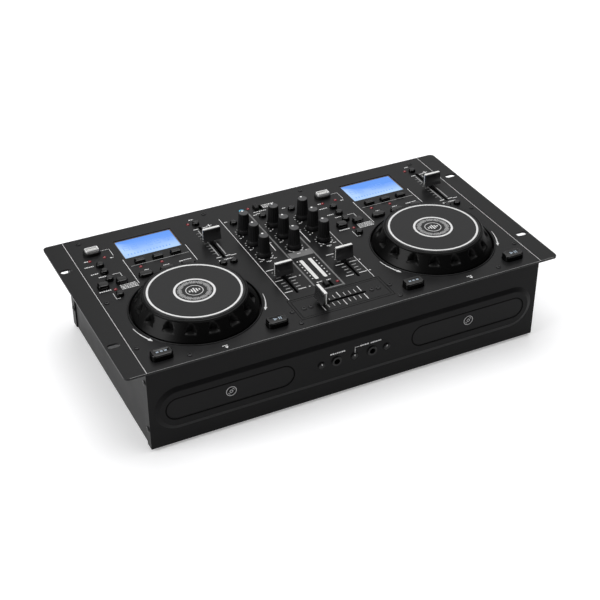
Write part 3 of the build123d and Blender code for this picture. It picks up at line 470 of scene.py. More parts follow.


# Besides ink, these ribbons draw the painted highlight and painted shadow lines.
def printed(name, lines, ink, body="case", level=None, front=None):
    """Ink lines, each a list of points and a width or one width for each point, in millimetres.
    The ribbon's height is scaled with its width, so it is flattened to the height of ink
    afterwards, a little more for each next line, so that crossing lines don't share a face.
    With `front` the marks, drawn in X and Z, lie on the sheet at that Y instead."""
    level = plate_top if level is None else level
    points, edges, widths, layers = [], [], [], []
    for number, (path, width) in enumerate(lines):
        start = len(points)
        looped = path[0] == path[-1]
        path = path[:-1] if looped else path
        points += [(x * mm, y * mm, 0) for x, y in path]
        edges += [(start + i, start + i + 1) for i in range(len(path) - 1)]
        if looped:
            edges.append((start + len(path) - 1, start))
        widths += [w * mm for w in width] if isinstance(width, list) else [width * mm] * len(path)
        layers += [1 + number % ink_layers * layer_step] * len(path)
    start_mesh = bpy.data.meshes.new(name)
    start_mesh.from_pydata(points, edges, [])
    start_mesh.attributes.new("width", "FLOAT", "POINT").data.foreach_set("value", widths)
    start_mesh.attributes.new("layer", "FLOAT", "POINT").data.foreach_set("value", layers)
    piece = grow(name, ribbon.group, start_mesh, Thickness=ribbon_thickness, Ink=ink)
    layer = piece.data.attributes["layer"].data
    for v in piece.data.vertices:
        height = ink_height * layer[v.index].value if v.co.z > 0 else 0.0
        x, y, z = v.co
        v.co = (x, y, level + height) if front is None else (x, front - height, y)
    return settle(piece, body)


dash_shortest, dash_longest, dash_gap, dash_least = 0.9, 2.3, 0.55, 0.5


def dash_label(x0, x1, y, height=1.5):
    """A label's place: a row of short dashes of uneven length."""
    deal = random.Random(round(x0 * 10) + round(y * 10))
    dashes, x = [], x0
    while x < x1 - dash_least:
        end = min(x1, x + deal.uniform(dash_shortest, dash_longest))
        dashes.append(([(x, y), (end, y)], height))
        x = end + dash_gap
    return dashes


def straight(x0, y0, x1, y1, width):
    """One straight line of ink, as a list with one path and its width."""
    return [([(x0, y0), (x1, y1)], width)]


def spot(x, y, size):
    """A square dot of ink."""
    return straight(x - size / 2, y, x + size / 2, y, size)


def bow(x, y, radius, start, end, width, steps=96):
    """An arc, or a ring where it runs a full turn; angles in degrees from the right."""
    steps = max(3, round(steps * abs(end - start) / 360))
    angles = [math.radians(start + (end - start) * i / steps) for i in range(steps + 1)]
    path = [(x + radius * math.cos(a), y + radius * math.sin(a)) for a in angles]
    if abs(end - start) == 360:
        path[-1] = path[0]
    return [(path, width)]


def middle_of(name):
    """The middle of a CAD node, in millimetres."""
    low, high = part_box(name)
    return (low + high) / (2 * mm)


deck_x, jog_y = middle_of("right_jog_grip")[:2]
fine, thick, hairline, case_line_x, edge_inset = 0.6, 1.7, 0.45, 219.7, 0.4
white, grey, faint = [], [], []
for x in (-case_line_x, case_line_x):
    white += straight(x, plate_front / mm + edge_inset, x, plate_back / mm - edge_inset, hairline)

# Marks of a deck, in millimetres from its middle: frames as paths, labels as left, right and y.
deck_frames = (((-35.4, 68.3), (-35.4, 19)), ((35, 68), (35, 34)),
               ((-50.6, 95.5), (-41.4, 95.5), (-41.4, 81)), ((-54.5, 46.3), (-46.5, 46.3), (-46.5, 35)),
               ((-66, 12.5), (-66, 1.2), (-61.5, 1.2)))
side_key_labels = ((-76.8, -67, 70), (-75, -67.3, 54.5), (-69.4, -61.4, 46.3), (-78, -64.8, 19.5),
                   (-73.5, -69.5, 81), (-46, -42.5, 78))
block_left, block_right, block_rows, block_height = -54.8, -37.2, (22.9, 20.5, 18.1, 15.7), 1.25
display_key_labels = ((-22, -17.5, 39.4), (-1, 5.5, 39.4), (16.5, 30, 39.4), (57, 62, 112.8))
pitch_x, pitch_low, pitch_high, pitch_step = 62.2, 31, 88, 5.7
turn_arc, arc_radius = range(188, 211, 2), 70
for sign in decks.values():
    x = sign * deck_x
    white += [([(x + px, py) for px, py in path], fine) for path in deck_frames]
    faint += straight(x - 32, 52.5, x + 33, 52.5, fine)
    for x0, x1, y in side_key_labels:
        white += dash_label(x + x0, x + x1, y)
    for y in block_rows:
        white += dash_label(x + block_left, x + block_right, y, block_height)
    for x0, x1, y in display_key_labels:
        white += dash_label(x + x0, x + x1, y)

    # The pitch fader's scale between its end marks, with a plus above and a minus below.
    fader_x = x + pitch_x
    for side in (-1, 1):
        faint += straight(fader_x + side * 4.0, pitch_low, fader_x + side * 4.0, pitch_high, 1.2)
        for y in (pitch_high + 3.4, pitch_low - 3.3):
            white += straight(fader_x + side * 2.4, y, fader_x + side * 8.0, y, 1.1)
    for step in range(1, 10):
        y = pitch_low + pitch_step * step
        faint += straight(fader_x - 8.5, y, fader_x - 4, y, 0.5)
    white += dash_label(fader_x - 8, fader_x + 9, 21.2, 1.6)
    white += straight(fader_x + 11, 90, fader_x + 11, 96, 0.9)
    for y in (93, 26.5):
        white += straight(fader_x + 8, y, fader_x + 14, y, 0.9)

    # Arrows that swell along the wheel's two sides, and the small mark in front of it.
    for mirror in (-1, 1):
        path = [(x - mirror * arc_radius * math.cos(math.radians(a)),
                 jog_y + arc_radius * math.sin(math.radians(a))) for a in turn_arc]
        swell = [0.5 + 1.1 * i / len(path) for i in range(len(path))]
        (px, py), (qx, qy) = path[-2:]
        white += [(path, swell), ([(px, py), (2 * qx - px, 2 * qy - py)], [3.4, 0.6])]
    white += [([(x + 0.5, -121.6), (x + 0.5, -124.4)], [3.8, 0.3])]
    white += dash_label(x - 3.2, x + 2.2, -119.8, 1.1)

# The mixer: frames, knob scales, the scales of the three faders, and the dots of the meters.
strip_back, strip_front, grey_x, channel_x = 100.6, -77, 14.5, 35
for x in (-48.9, 48.5):
    white += straight(x, strip_front, x, strip_back, fine)
grey += straight(-grey_x, strip_back, -grey_x, -65, thick)
grey += straight(grey_x, strip_back, grey_x, -76.3, thick)
grey += straight(-8.4, -75, 15.3, -75, thick) + straight(0.35, 2.0, 0.35, -8.8, 26.0)
columns, rows = ("left", "middle", "right"), ("top", "middle", "bottom")
tick_start, tick_short, tick_long, arc_around_knob = 8.4, 9.8, 10.6, 9.4
for column in columns:
    for row in rows:
        x, y = middle_of("%s_%s_knob" % (column, row))[:2]
        for step in range(-5, 6):
            a = math.radians(90 + 30 * step)
            reach = tick_long if step in (-5, 0, 5) else tick_short
            white += [([(x + r * math.cos(a), y + r * math.sin(a)) for r in (tick_start, reach)], 0.75)]
        for x0, x1 in ((-9.5, -6.5), (6.3, 9.6)):
            white += dash_label(x + x0, x + x1, y - 10.2, 1.2)
        if row == "bottom":
            for turn_from, turn_to in ((205, 250), (290, 335)):
                white += bow(x, y, arc_around_knob, turn_from, turn_to, fine)
            white += dash_label(x - 3, x + 2.6, y - 13.2, 1.3)
    x, y = middle_of(column + "_mixer_button")[:2]
    white += dash_label(x - 8.5, x - 4.6, y + 6.2, 1.3)
white += straight(-20, 31, -20.6, 13.5, 0.9) + straight(20, 40.5, 20, 12.8, 0.9)
white += straight(-22.5, 31, -17.5, 31, 0.9) + straight(17.5, 40.5, 22.5, 40.5, 0.9)
white += spot(-channel_x, -3, 1.8) + spot(channel_x, -3, 1.8)
for x0, x1, y, height in ((5.7, 20.6, 107.6, 1.4), (5.7, 20.6, 105.0, 1.4), (5.7, 20.6, 102.5, 1.4),
                          (-8.5, 6.5, 96.6, 1.3), (-7.5, -1.5, 92.4, 1.3)):
    white += dash_label(x0, x1, y, height)
for y in (-16.9, -23, -29, -34.9, -40.5, -46.6, -52.4):
    white += spot(-10, y, 1.4) + spot(9.5, y, 1.4)
white += dash_label(-9.5, 6.5, -61.0, 1.3)
scale_start, scale_short = 3.3, 8.2
for x in (-channel_x, channel_x):
    for y in (-18.9, -41, -63.7):
        white += straight(x - 12.3, y, x - scale_start, y, 1.0)
        white += straight(x + scale_start, y, x + 12.0, y, 1.0)
        white += spot(x + 16, y, 1.5)
    for y in (-24.4, -29.9, -35.5, -46.9, -52.4, -58.1):
        for side in (-1, 1):
            faint += straight(x + side * scale_start, y, x + side * scale_short, y, 1.1)
cross_y, cross_start, cross_step = middle_of("crossfader_cap").y, 2.8, 6
for step in range(-4, 5):
    reach, width = (12.4, 0.9) if step in (-4, 0, 4) else (8.8, 0.6)
    for side in (-1, 1):
        white += straight(cross_step * step, cross_y + side * cross_start, cross_step * step,
                          cross_y + side * reach, width)

# A painted highlight along the plate's front edge, and a painted shadow line in the seam round the fader
# plate.
highlight_end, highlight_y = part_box("top_plate")[1].x / mm - 5, plate_front / mm + 0.3
# This pale line along the plate's front edge is a painted highlight, not print.
faint += straight(-highlight_end, highlight_y, highlight_end, highlight_y, 0.35)
low, high = [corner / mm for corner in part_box("crossfader_plate")]
seam = [(low.x, low.y), (high.x, low.y), (high.x, high.y), (low.x, high.y), (low.x, low.y)]
# Matt black line over the seam round the fader plate: painted shadow of the gap.
seam_shadow_paint = surface("shadow in the seam", (0.001, 0.001, 0.001), 0.8, gloss=0.05)
printed("crossfader_seam", [(seam, 0.7)], seam_shadow_paint)
printed("plate_lines_white", white, white_ink)
printed("plate_lines_grey", grey, grey_ink)
# The faint lines hold grey print and the painted highlight of the plate's front edge.
printed("plate_lines_faint", faint, faint_ink)
blue_x, blue_y = -19, 106
blue_mark = bow(blue_x, blue_y, 2.3, 0, 360, 1.3) + spot(blue_x, blue_y, 1.6)
printed("plate_mark_blue", blue_mark, blue_ink)

# ---------------------------------------------------------------- jog wheels
# Moulded black wheels: a flared skirt with sixteen finger scoops under a plain rim, running in
# a round dish, with a satin aluminium disc let into the top that carries printed rings.
turned = Tree("turned body", Steps="Int", Lobes="Int", Place="Vector", Turn="Rotation", Skin="Material")
profile = turned.inputs["Geometry"]
stations = turned.node("GeometryNodeAttributeDomainSize", profile).outputs["Point Count"]
across = turned.math("ADD", turned.inputs["Steps"], 1.0)
grid = turned.node("GeometryNodeMeshGrid", 1.0, 1.0, stations, across).outputs["Mesh"]
index = turned.node("GeometryNodeInputIndex").outputs[0]
station = turned.math("FLOOR", turned.math("DIVIDE", turned.math("ADD", index, 0.5), across))
step = turned.math("SUBTRACT", index, turned.math("MULTIPLY", station, across))
share = turned.math("DIVIDE", step, turned.inputs["Steps"])
angle = turned.math("MULTIPLY", share, math.tau)


def at_station(value, kind="FLOAT"):
    """The value that the profile has at the station of this point."""
    return turned.node("GeometryNodeSampleIndex", profile, value, station, data_type=kind).outputs[0]


place = turned.node("ShaderNodeSeparateXYZ",
                    at_station(turned.node("GeometryNodeInputPosition").outputs[0], "FLOAT_VECTOR"))
lobe = turned.math("FRACT", turned.math("MULTIPLY", share, turned.inputs["Lobes"]))
from_middle = turned.math("ABSOLUTE", turned.math("SUBTRACT", turned.math("MULTIPLY", lobe, 2.0), 1.0))
flank = turned.math("POWER", turned.math("DIVIDE", from_middle, at_station(turned.attribute("spread"))), 2.0)
cut = turned.math("MULTIPLY", at_station(turned.attribute("depth")),
                  turned.math("MAXIMUM", turned.math("SUBTRACT", 1.0, flank), 0.0))
cut = turned.math("MINIMUM", cut, at_station(turned.attribute("limit")))
radius = turned.math("SUBTRACT", place.outputs["X"], cut)
round_place = turned.node("ShaderNodeCombineXYZ",
                          turned.math("MULTIPLY", radius, turned.math("COSINE", angle)),
                          turned.math("MULTIPLY", radius, turned.math("SINE", angle)),
                          place.outputs["Z"]).outputs[0]
wrapped = turned.node("GeometryNodeSetPosition", grid, None, round_place).outputs[0]
sealed = turned.node("GeometryNodeMergeByDistance", wrapped, None, 0.001 * mm).outputs[0]
seated = turned.node("GeometryNodeTransform", sealed, ("Translation", turned.inputs["Place"]),
                     ("Rotation", turned.inputs["Turn"])).outputs[0]
turned.finish(seated, turned.inputs["Skin"])


def turned_body(name, stations, skin, place=(0, 0, 0), lobes=1, steps=96, turn=(0, 0, 0)):
    """A body of revolution from stations of radius and height in millimetres, each with the depth,
    spread and limit of the round cuts that repeat about it, where it has any."""
    start = bpy.data.meshes.new(name)
    start.from_pydata([(row[0] * mm, 0, row[1] * mm) for row in stations], [], [])
    cuts = {"depth": 0.0, "spread": 1.0, "limit": 1.0}
    for column, (label, plain) in enumerate(cuts.items(), 2):
        values = [row[column] if len(row) > column else plain for row in stations]
        values = [v * mm for v in values] if label != "spread" else values
        start.attributes.new(label, "FLOAT", "POINT").data.foreach_set("value", values)
    return grow(name, turned.group, start, Steps=steps, Lobes=lobes, Skin=skin,
                Place=[c * mm for c in place], Turn=turn)


jog_gloss = surface("moulded black of the wheel", (0.0025, 0.0025, 0.0025), 0.36, gloss=0.15,
                    grain=0.12, grain_size=0.25 * mm, patch=0.1, edge=0.3 * mm)
jog_face = surface("satin disc", (0.012, 0.012, 0.0125), 0.34, gloss=0.24, grain=0.05, patch=0.06)
finish_node("jog_wells", surface("dish of the wheel", (0.004, 0.004, 0.004), 0.5, gloss=0.25, grain=0.1,
                                 patch=0.1))
wheel_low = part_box("right_jog_grip")[0].z / mm
disc_low, disc_high = [corner.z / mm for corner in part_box("right_jog_disc")]
rim_radius, foot_radius, disc_radius, post_radius = 53.4, 64.2, 50.8, 6.1
rim_low, foot_high, skirt_low = disc_high - 2.3, plate_top / mm + 0.5, plate_top / mm - 3.5
scoop_count, scoop_radius, scoop_floor, scoop_back, floor_slope = 16, 5.5, plate_top / mm + 6.6, 0.1, 8.0
floor_blend, narrowest, slope_steps = 1.2, 0.05, 22
half_pitch = math.pi * 58 / scoop_count


def slope_radius(z):
    """Radius of the flared slope at a height, without the scoops."""
    return rim_radius + (foot_radius - rim_radius) * (rim_low - z) / (rim_low - foot_high)


def scoop_station(z):
    """A station on the slope: how deep the upright scoop is there, how wide, and its floor."""
    radius = slope_radius(z)
    depth = max(0.0, radius - rim_radius - scoop_back)
    spread = math.sqrt(max(0.0, depth * (2 * scoop_radius - min(depth, scoop_radius)))) / half_pitch
    floor_radius = rim_radius + (scoop_floor + floor_blend - z) * floor_slope
    return radius, z, depth, max(narrowest, spread), max(0.0, min(depth, radius - floor_radius))


slope = [scoop_station(rim_low + (foot_high - rim_low) * i / slope_steps) for i in range(slope_steps + 1)]
crown = [(disc_radius + 0.2, disc_low), (disc_radius + 0.2, disc_high - 0.5),
         (disc_radius + 0.5, disc_high - 0.3), (rim_radius - 1.4, disc_high - 0.3),
         (rim_radius - 0.7, disc_high - 0.5), (rim_radius - 0.1, disc_high - 1.2)]
inner_radius = rim_radius - 3
skirt = [(foot_radius, foot_high), (foot_radius, foot_high - 0.6), (foot_radius - 0.4, foot_high - 1.0),
         (foot_radius - 0.4, skirt_low), (foot_radius - 3, skirt_low), (foot_radius - 3, foot_high - 1),
         (foot_radius - 6, scoop_floor - 2.6), (inner_radius, scoop_floor - 2.6),
         (inner_radius, disc_low - 3), (post_radius + 4, disc_low - 3), (post_radius + 4, wheel_low),
         (post_radius, wheel_low)]
hub = [(post_radius, disc_low - 2), (post_radius + 3, disc_low - 2), (post_radius + 3, disc_low)]
wheel = hub + crown + slope + skirt + [hub[0]]
lip_profile = [(66.3, 0), (66.3, 0.6), (66.5, 0.8), (67.2, 0.8), (67.6, 0.5), (67.8, 0), (66.3, 0)]
rest_turn = {"left": 0.33, "right": 0.2}
outer_ring, inner_ring, tick_count, bar_pitch, bar_heights = 46.85, 19.95, 60, 2.6, (2.6, 5.2, 8.6, 5.2, 2.6)
for side, sign in decks.items():
    x, body = sign * deck_x, side + "_jog_wheel"
    piece = turned_body(side + "_finger_wheel", wheel, jog_gloss, (x, jog_y, 0), lobes=scoop_count,
                        steps=scoop_count * 20, turn=(0, 0, math.tau / scoop_count * rest_turn[side]))
    settle(piece, body, sharp=28, replaced=[side + "_jog_grip"])
    lip = turned_body(side + "_well_lip", lip_profile, coat_top, (x, jog_y, plate_top / mm), steps=128)
    settle(lip, "case")
    finish_node(side + "_jog_disc", jog_face)
    rings = bow(x, jog_y, outer_ring, 0, 360, 2.1) + bow(x, jog_y, inner_ring, 0, 360, 2.3)
    ticks = []
    for i in range(tick_count):
        a = math.tau * i / tick_count
        reach = (12.6, 17.4) if i % 5 else (13.6, 16.4)
        ticks.append(([(x + r * math.cos(a), jog_y + r * math.sin(a)) for r in reach], 0.95))
    ticks += bow(x, jog_y, 15, 0, 360, 0.7)
    emblem = bow(x, jog_y, 8.6, 0, 360, 0.7)
    for i, height in enumerate(bar_heights):
        bar_x = x + bar_pitch * (i - 2)
        emblem += straight(bar_x, jog_y - height / 2, bar_x, jog_y + height / 2, 1.4)
    printed(side + "_jog_rings", rings + emblem, white_ink, body, disc_high * mm)
    printed(side + "_jog_ticks", ticks, faint_ink, body, disc_high * mm)

# ---------------------------------------------------------------- keys
# Glossy black moulded caps with rounded tops. Each has a flange under the plate and a stem on
# its switch; the two large keys of a deck carry a printed sign.
key_gloss = surface("glossy key", (0.0025, 0.0025, 0.0025), 0.13, gloss=0.40, grain=0.04, patch=0.1)
key_sign = surface("pale sign", (0.30, 0.36, 0.42), 0.5, patch=0.05)
plate_under = plate_top / mm - 2.0
flange_width, flange_high, flange_low = 0.8, plate_under - 0.1, plate_under - 1.1
stem_radius, small_crown, small_dome, large_crown, large_dish, crown_steps = 1.5, 1.3, 0.1, 1.6, 0.3, 5


def rounded_ring(x, y, width, depth, corner, z, per_corner=7):
    """Points round a rectangle with round corners, in metres from millimetres."""
    least = 0.01
    corner = max(2 * least, min(corner, width / 2 - least, depth / 2 - least))
    ring = []
    for quarter, (sx, sy) in enumerate(((1, 1), (-1, 1), (-1, -1), (1, -1))):
        for i in range(per_corner):
            a = math.pi / 2 * (quarter + i / (per_corner - 1))
            ring.append(((x + sx * (width / 2 - corner) + corner * math.cos(a)) * mm,
                         (y + sy * (depth / 2 - corner) + corner * math.sin(a)) * mm, z * mm))
    return ring


def key_corner(width, depth):
    """Round keys, long oval keys, small soft keys, and the rounded rectangles of the rest."""
    if abs(width - depth) < 0.1 or 15 < width < 16:
        return depth / 2
    return 0.8 if depth < 7 else 0.32 * depth


def key_caps(name, node, crown, dish):
    """The caps of a key node, one on each of its solids, with a top that sinks by `dish`."""
    meshes = []
    for low, high in islands(node):
        x, y = (low.x + high.x) / (2 * mm), (low.y + high.y) / (2 * mm)
        width, depth = [c / mm - 2 * flange_width for c in (high.x - low.x, high.y - low.y)]
        corner, top, stem_low = key_corner(width, depth), high.z / mm, low.z / mm
        steps = [(2 * flange_width, flange_low), (2 * flange_width, flange_high), (0, flange_high),
                 (0, top - crown)]
        for i in range(1, crown_steps + 1):
            a = math.pi / 2 * i / crown_steps
            steps.append((-2 * crown * (1 - math.cos(a)), top - crown + crown * math.sin(a)))
        steps.append((-2 * crown - 0.2 * depth, top - dish))
        rings = [rounded_ring(x, y, width + grow, depth + grow, corner + grow / 2, z) for grow, z in steps]
        meshes.append(ring_skin(name, rings, key_gloss))
        stem = [circle(stem_radius * mm, z * mm, 16, x * mm, y * mm) for z in (stem_low, flange_low)]
        meshes.append(ring_skin(name, stem, key_gloss))
    return settle(new_object(name, joined(name, meshes)), node, sharp=50, replaced=[node])


for side in decks:
    for group in ("display_keys", "side_keys"):
        node = "%s_%s" % (side, group)
        key_caps(node + "_caps", node, small_crown, -small_dome)
    for group in ("cue_key", "play_key"):
        node = "%s_%s" % (side, group)
        key_caps(node + "_cap", node, large_crown, large_dish)
        x, y = middle_of(node)[:2]
        sign_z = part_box(node)[1].z - large_dish * mm
        if group == "cue_key":
            marks = [([(x + dx, y - 1.0), (x + dx, y + 1.0)], 2.6) for dx in (-4.2, 0, 4.2)]
        else:
            marks = [([(x - 3.4, y), (x + 0.4, y)], [4.4, 0.2])]
            marks += [([(x + dx, y - 2.0), (x + dx, y + 2.0)], 1.1) for dx in (2.2, 4.2)]
        printed(node + "_sign", marks, key_sign, node, sign_z)
for column in columns:
    node = column + "_mixer_button"
    key_caps(node + "_cap", node, small_crown, -small_dome)

# ---------------------------------------------------------------- slide switches
# Small black levers with cross ribs for the finger, each in a square opening of the plate. A
# wide foot under the plate keeps each one in and covers the opening.
lever_black = surface("slide lever", (0.006, 0.006, 0.006), 0.4, gloss=0.4, grain=0.1, patch=0.1)
lever_width, lever_depth, lever_rise, lever_corner = 4.4, 8.6, 2.0, 0.4
rib_count, rib_pitch, rib_inset, wing_drop = 4, 1.8, 0.7, 0.3
for name in ("microphone_switch", "crossfader_switch"):
    low, high = [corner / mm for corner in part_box(name)]
    x, y, top = (low.x + high.x) / 2, (low.y + high.y) / 2, high.z + lever_rise
    wing, lever = (high.x - low.x, high.y - low.y), (lever_width, lever_depth)
    steps = [(*wing, low.z), (*wing, plate_under - wing_drop), (*lever, plate_under - wing_drop),
             (*lever, top - 0.5), (lever_width - 0.5, lever_depth - 0.5, top - 0.2)]
    rings = [rounded_ring(x, y, w, d, lever_corner, z, 3) for w, d, z in steps]
    meshes = [ring_skin(name, rings, lever_black)]
    for i in range(rib_count):
        rib_y = y + (i - (rib_count - 1) / 2) * rib_pitch
        rings = [rounded_ring(x, rib_y, lever_width - rib_inset, w, 0.2, z, 3)
                 for w, z in ((0.9, top - 0.3), (0.5, top))]
        meshes.append(ring_skin(name, rings, lever_black))
    settle(new_object(name + "_lever", joined(name + "_lever", meshes)), name, replaced=[name])

# ---------------------------------------------------------------- faders
# Five blade-shaped caps with hollow faces and a white centre line over the crest and down both
# ends. Each stands on the stem of a carriage in a black channel between board and plate.
cap_gloss = surface("glossy fader cap", (0.030, 0.030, 0.031), 0.26, gloss=0.5, grain=0.04, patch=0.1)
cap_line = surface("white centre line", (0.78, 0.78, 0.77), 0.4, patch=0.04)
finish_node("fader_bodies", surface("fader channel", (0.008, 0.008, 0.008), 0.5, gloss=0.3, grain=0.1,
                                    patch=0.1))
cap_half, foot_half, waist_half, crest_half = 9.8, 4.8, 2.8, 2.8
cap_low, cap_high = plate_top / mm + 4.3, plate_top / mm + 17.8
cap_edge, face_steps = 0.5, 12
carriage_half, carriage_high, stem_half, stem_run, stem_bite = 4.0, 4.0, 0.8, 4.0, 1.5
line_proud, line_deep = 0.08, 0.3


def blade_half(share):
    """Half the blade's thickness, from its foot at 0 to its crest at 1."""
    return foot_half + (4 * waist_half - 3 * foot_half - crest_half) * share \
        + 2 * (foot_half + crest_half - 2 * waist_half) * share ** 2


def blade_ring(inset):
    """The blade's outline across its thickness and height, drawn in by `inset`."""
    low, high = cap_low + inset, cap_high - inset
    face = [(blade_half(i / face_steps) - inset, low + (high - cap_edge - low) * i / face_steps)
            for i in range(face_steps + 1)]
    tip = [(crest_half - inset - 0.15, high - 0.15), (crest_half - inset - cap_edge, high)]
    right = [(foot_half - inset - cap_edge, low)] + face + tip
    return right + [(-v, z) for v, z in reversed(right)]


def fader_cap(name, node, body):
    """Blade, stem and carriage of one fader as one piece, and its white line as another."""
    low, high = [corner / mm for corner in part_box(node)]
    x, y = (low.x + high.x) / 2, (low.y + high.y) / 2
    along_x = high.x - low.x > high.y - low.y

    def put(u, v, z):
        """A point at u along the blade and v across it."""
        return ((x + u) * mm, (y + v) * mm, z * mm) if along_x else ((x + v) * mm, (y + u) * mm, z * mm)

    left_end = [(-cap_half, cap_edge), (-cap_half + 0.15, 0.15), (-cap_half + cap_edge, 0)]
    stations = left_end + [(-u, inset) for u, inset in reversed(left_end)]
    rings = [[put(u, v, z) for v, z in blade_ring(inset)] for u, inset in stations]
    meshes = [ring_skin(name, rings, cap_gloss)]
    carriage_top = low.z + carriage_high
    for half_u, half_v, z0, z1 in ((carriage_half, carriage_half, low.z, carriage_top),
                                   (stem_half, stem_run, carriage_top, cap_low + stem_bite)):
        corners = ((-half_u, -half_v), (half_u, -half_v), (half_u, half_v), (-half_u, half_v))
        meshes.append(ring_skin(name, [[put(u, v, z) for u, v in corners] for z in (z0, z1)], cap_gloss))
    settle(new_object(name, joined(name, meshes)), body, sharp=40, replaced=[node])

    # Up the left end, over the crest and down the right end: u, z, half width, and how far the
    # line stands out sideways and upwards.
    rise = [(-cap_half, cap_low + 0.7, 0.55, line_proud, 0), (-cap_half, cap_high - 0.6, 0.6, line_proud, 0),
            (-cap_half + 0.4, cap_high, 1.5, 0, line_proud)]
    path = rise + [(-u, z, half_v, out, lift) for u, z, half_v, out, lift in reversed(rise)]
    rings = []
    for u, z, half_v, out, lift in path:
        outside, inside = u + math.copysign(out, u), u - math.copysign(line_deep, u)
        rings.append([put(outside, -half_v, z + lift), put(outside, half_v, z + lift),
                      put(inside, half_v, z - line_deep), put(inside, -half_v, z - line_deep)])
    settle(new_object(name + "_line", ring_skin(name + "_line", rings, cap_line)), body)


for side in decks:
    for kind in ("pitch_fader", "channel_fader"):
        fader_cap("%s_%s_blade" % (side, kind), "%s_%s_cap" % (side, kind), "%s_%s" % (side, kind))
fader_cap("crossfader_blade", "crossfader_cap", "crossfader")

# ---------------------------------------------------------------- knobs
# Nine push-on knobs of soft black rubber, ribbed all round over a plain skirt, with a flat top
# and a white dot. They turn on the shafts of the potentiometers.
knob_rubber = surface("knob rubber", (0.010, 0.010, 0.0104), 0.55, gloss=0.22, grain=0.2,
                      grain_size=0.2 * mm, patch=0.1)
dot_white = surface("white dot", (0.85, 0.85, 0.85), 0.45, patch=0.03)
face_grey = surface("smooth knob face", (0.05, 0.05, 0.052), 0.42, gloss=0.5, grain=0.05, patch=0.08)
finish_node("potentiometers", surface("potentiometer steel", (0.25, 0.25, 0.24), 0.45, metal=0.9,
                                      patch=0.1, grain=0.1))
knob_lift, hub_radius, grip_foot, grip_top, grip_steps, knob_ribs = 1.2, 3, 6.5, 5.5, 10, 18
rib_cut, dot_place = (0.28, 0.6, 0.28), 3.75
face_profile = [(0, 0), (4.9, 0), (4.8, 0.08), (0, 0.08)]
dot_profile = [(0, 0), (1.2, 0), (1.15, 0.14), (0, 0.2)]
for column in columns:
    for row in rows:
        name = "%s_%s_knob" % (column, row)
        x, y = middle_of(name)[:2]
        base, top = [corner.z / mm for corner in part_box(name)]
        low = plate_top / mm + knob_lift
        grip_low, grip_high = low + 4.2, top - 1.2
        ribbed = [(grip_foot - (grip_foot - grip_top) * i / grip_steps,
                   grip_low + (grip_high - grip_low) * i / grip_steps, *rib_cut)
                  for i in range(grip_steps + 1)]
        skirt = [(0, base), (hub_radius, base), (hub_radius, low), (7.2, low), (7.5, low + 0.3),
                 (7.3, low + 2.8), (6.9, low + 3.6)]
        stations = skirt + ribbed + [(5.4, top - 0.7), (5.2, top - 0.2), (4.8, top), (0, top)]
        piece = turned_body(name + "_grip", stations, knob_rubber, (x, y, 0), lobes=knob_ribs,
                            steps=knob_ribs * 12)
        settle(piece, name, sharp=32, replaced=[name])
        face = turned_body(name + "_face", face_profile, face_grey, (x, y, top - 0.01), steps=48)
        settle(face, name)
        dot = turned_body(name + "_dot", dot_profile, dot_white, (x, y + dot_place, top + 0.05), steps=20)
        settle(dot, name)

# ---------------------------------------------------------------- displays and lamps
# Two blue backlit panels set back under the plate, each in a brown seal behind a clear pane; red
# lamps with domed lenses, and two long unlit white bars for the level meter, with a faint
# painted glow.
finish_node("displays", surface("display housing", (0.010, 0.010, 0.010), 0.5, gloss=0.3, patch=0.1))
finish_node("level_meter_bars", surface("meter window", (0.02, 0.02, 0.02), 0.25, gloss=0.4, patch=0.1))
# The meter bars are unlit; their slight emission is a painted glow.
meter_white_glow = surface("white meter bar with painted glow", (0.68, 0.68, 0.67), 0.35, patch=0.04, glow=0.08)
bars = []
bar_inset, bar_widths = 0.7, [2.2, 3.3, 4.0, 4.0, 3.3, 2.2]
for low, high in islands("level_meter_bars"):
    x, y0, y1 = (low.x + high.x) / (2 * mm), low.y / mm + bar_inset, high.y / mm - bar_inset
    path = [(x, y) for y in (y0, y0 + 0.4, y0 + 1.2, y1 - 1.2, y1 - 0.4, y1)]
    bars.append((path, bar_widths))
printed("meter_lights", bars, meter_white_glow, level=plate_top + 0.02 * mm)


glow_front, glow_back, bleed_width, cloud_share = 0.075, 0.107, 0.016, 0.35


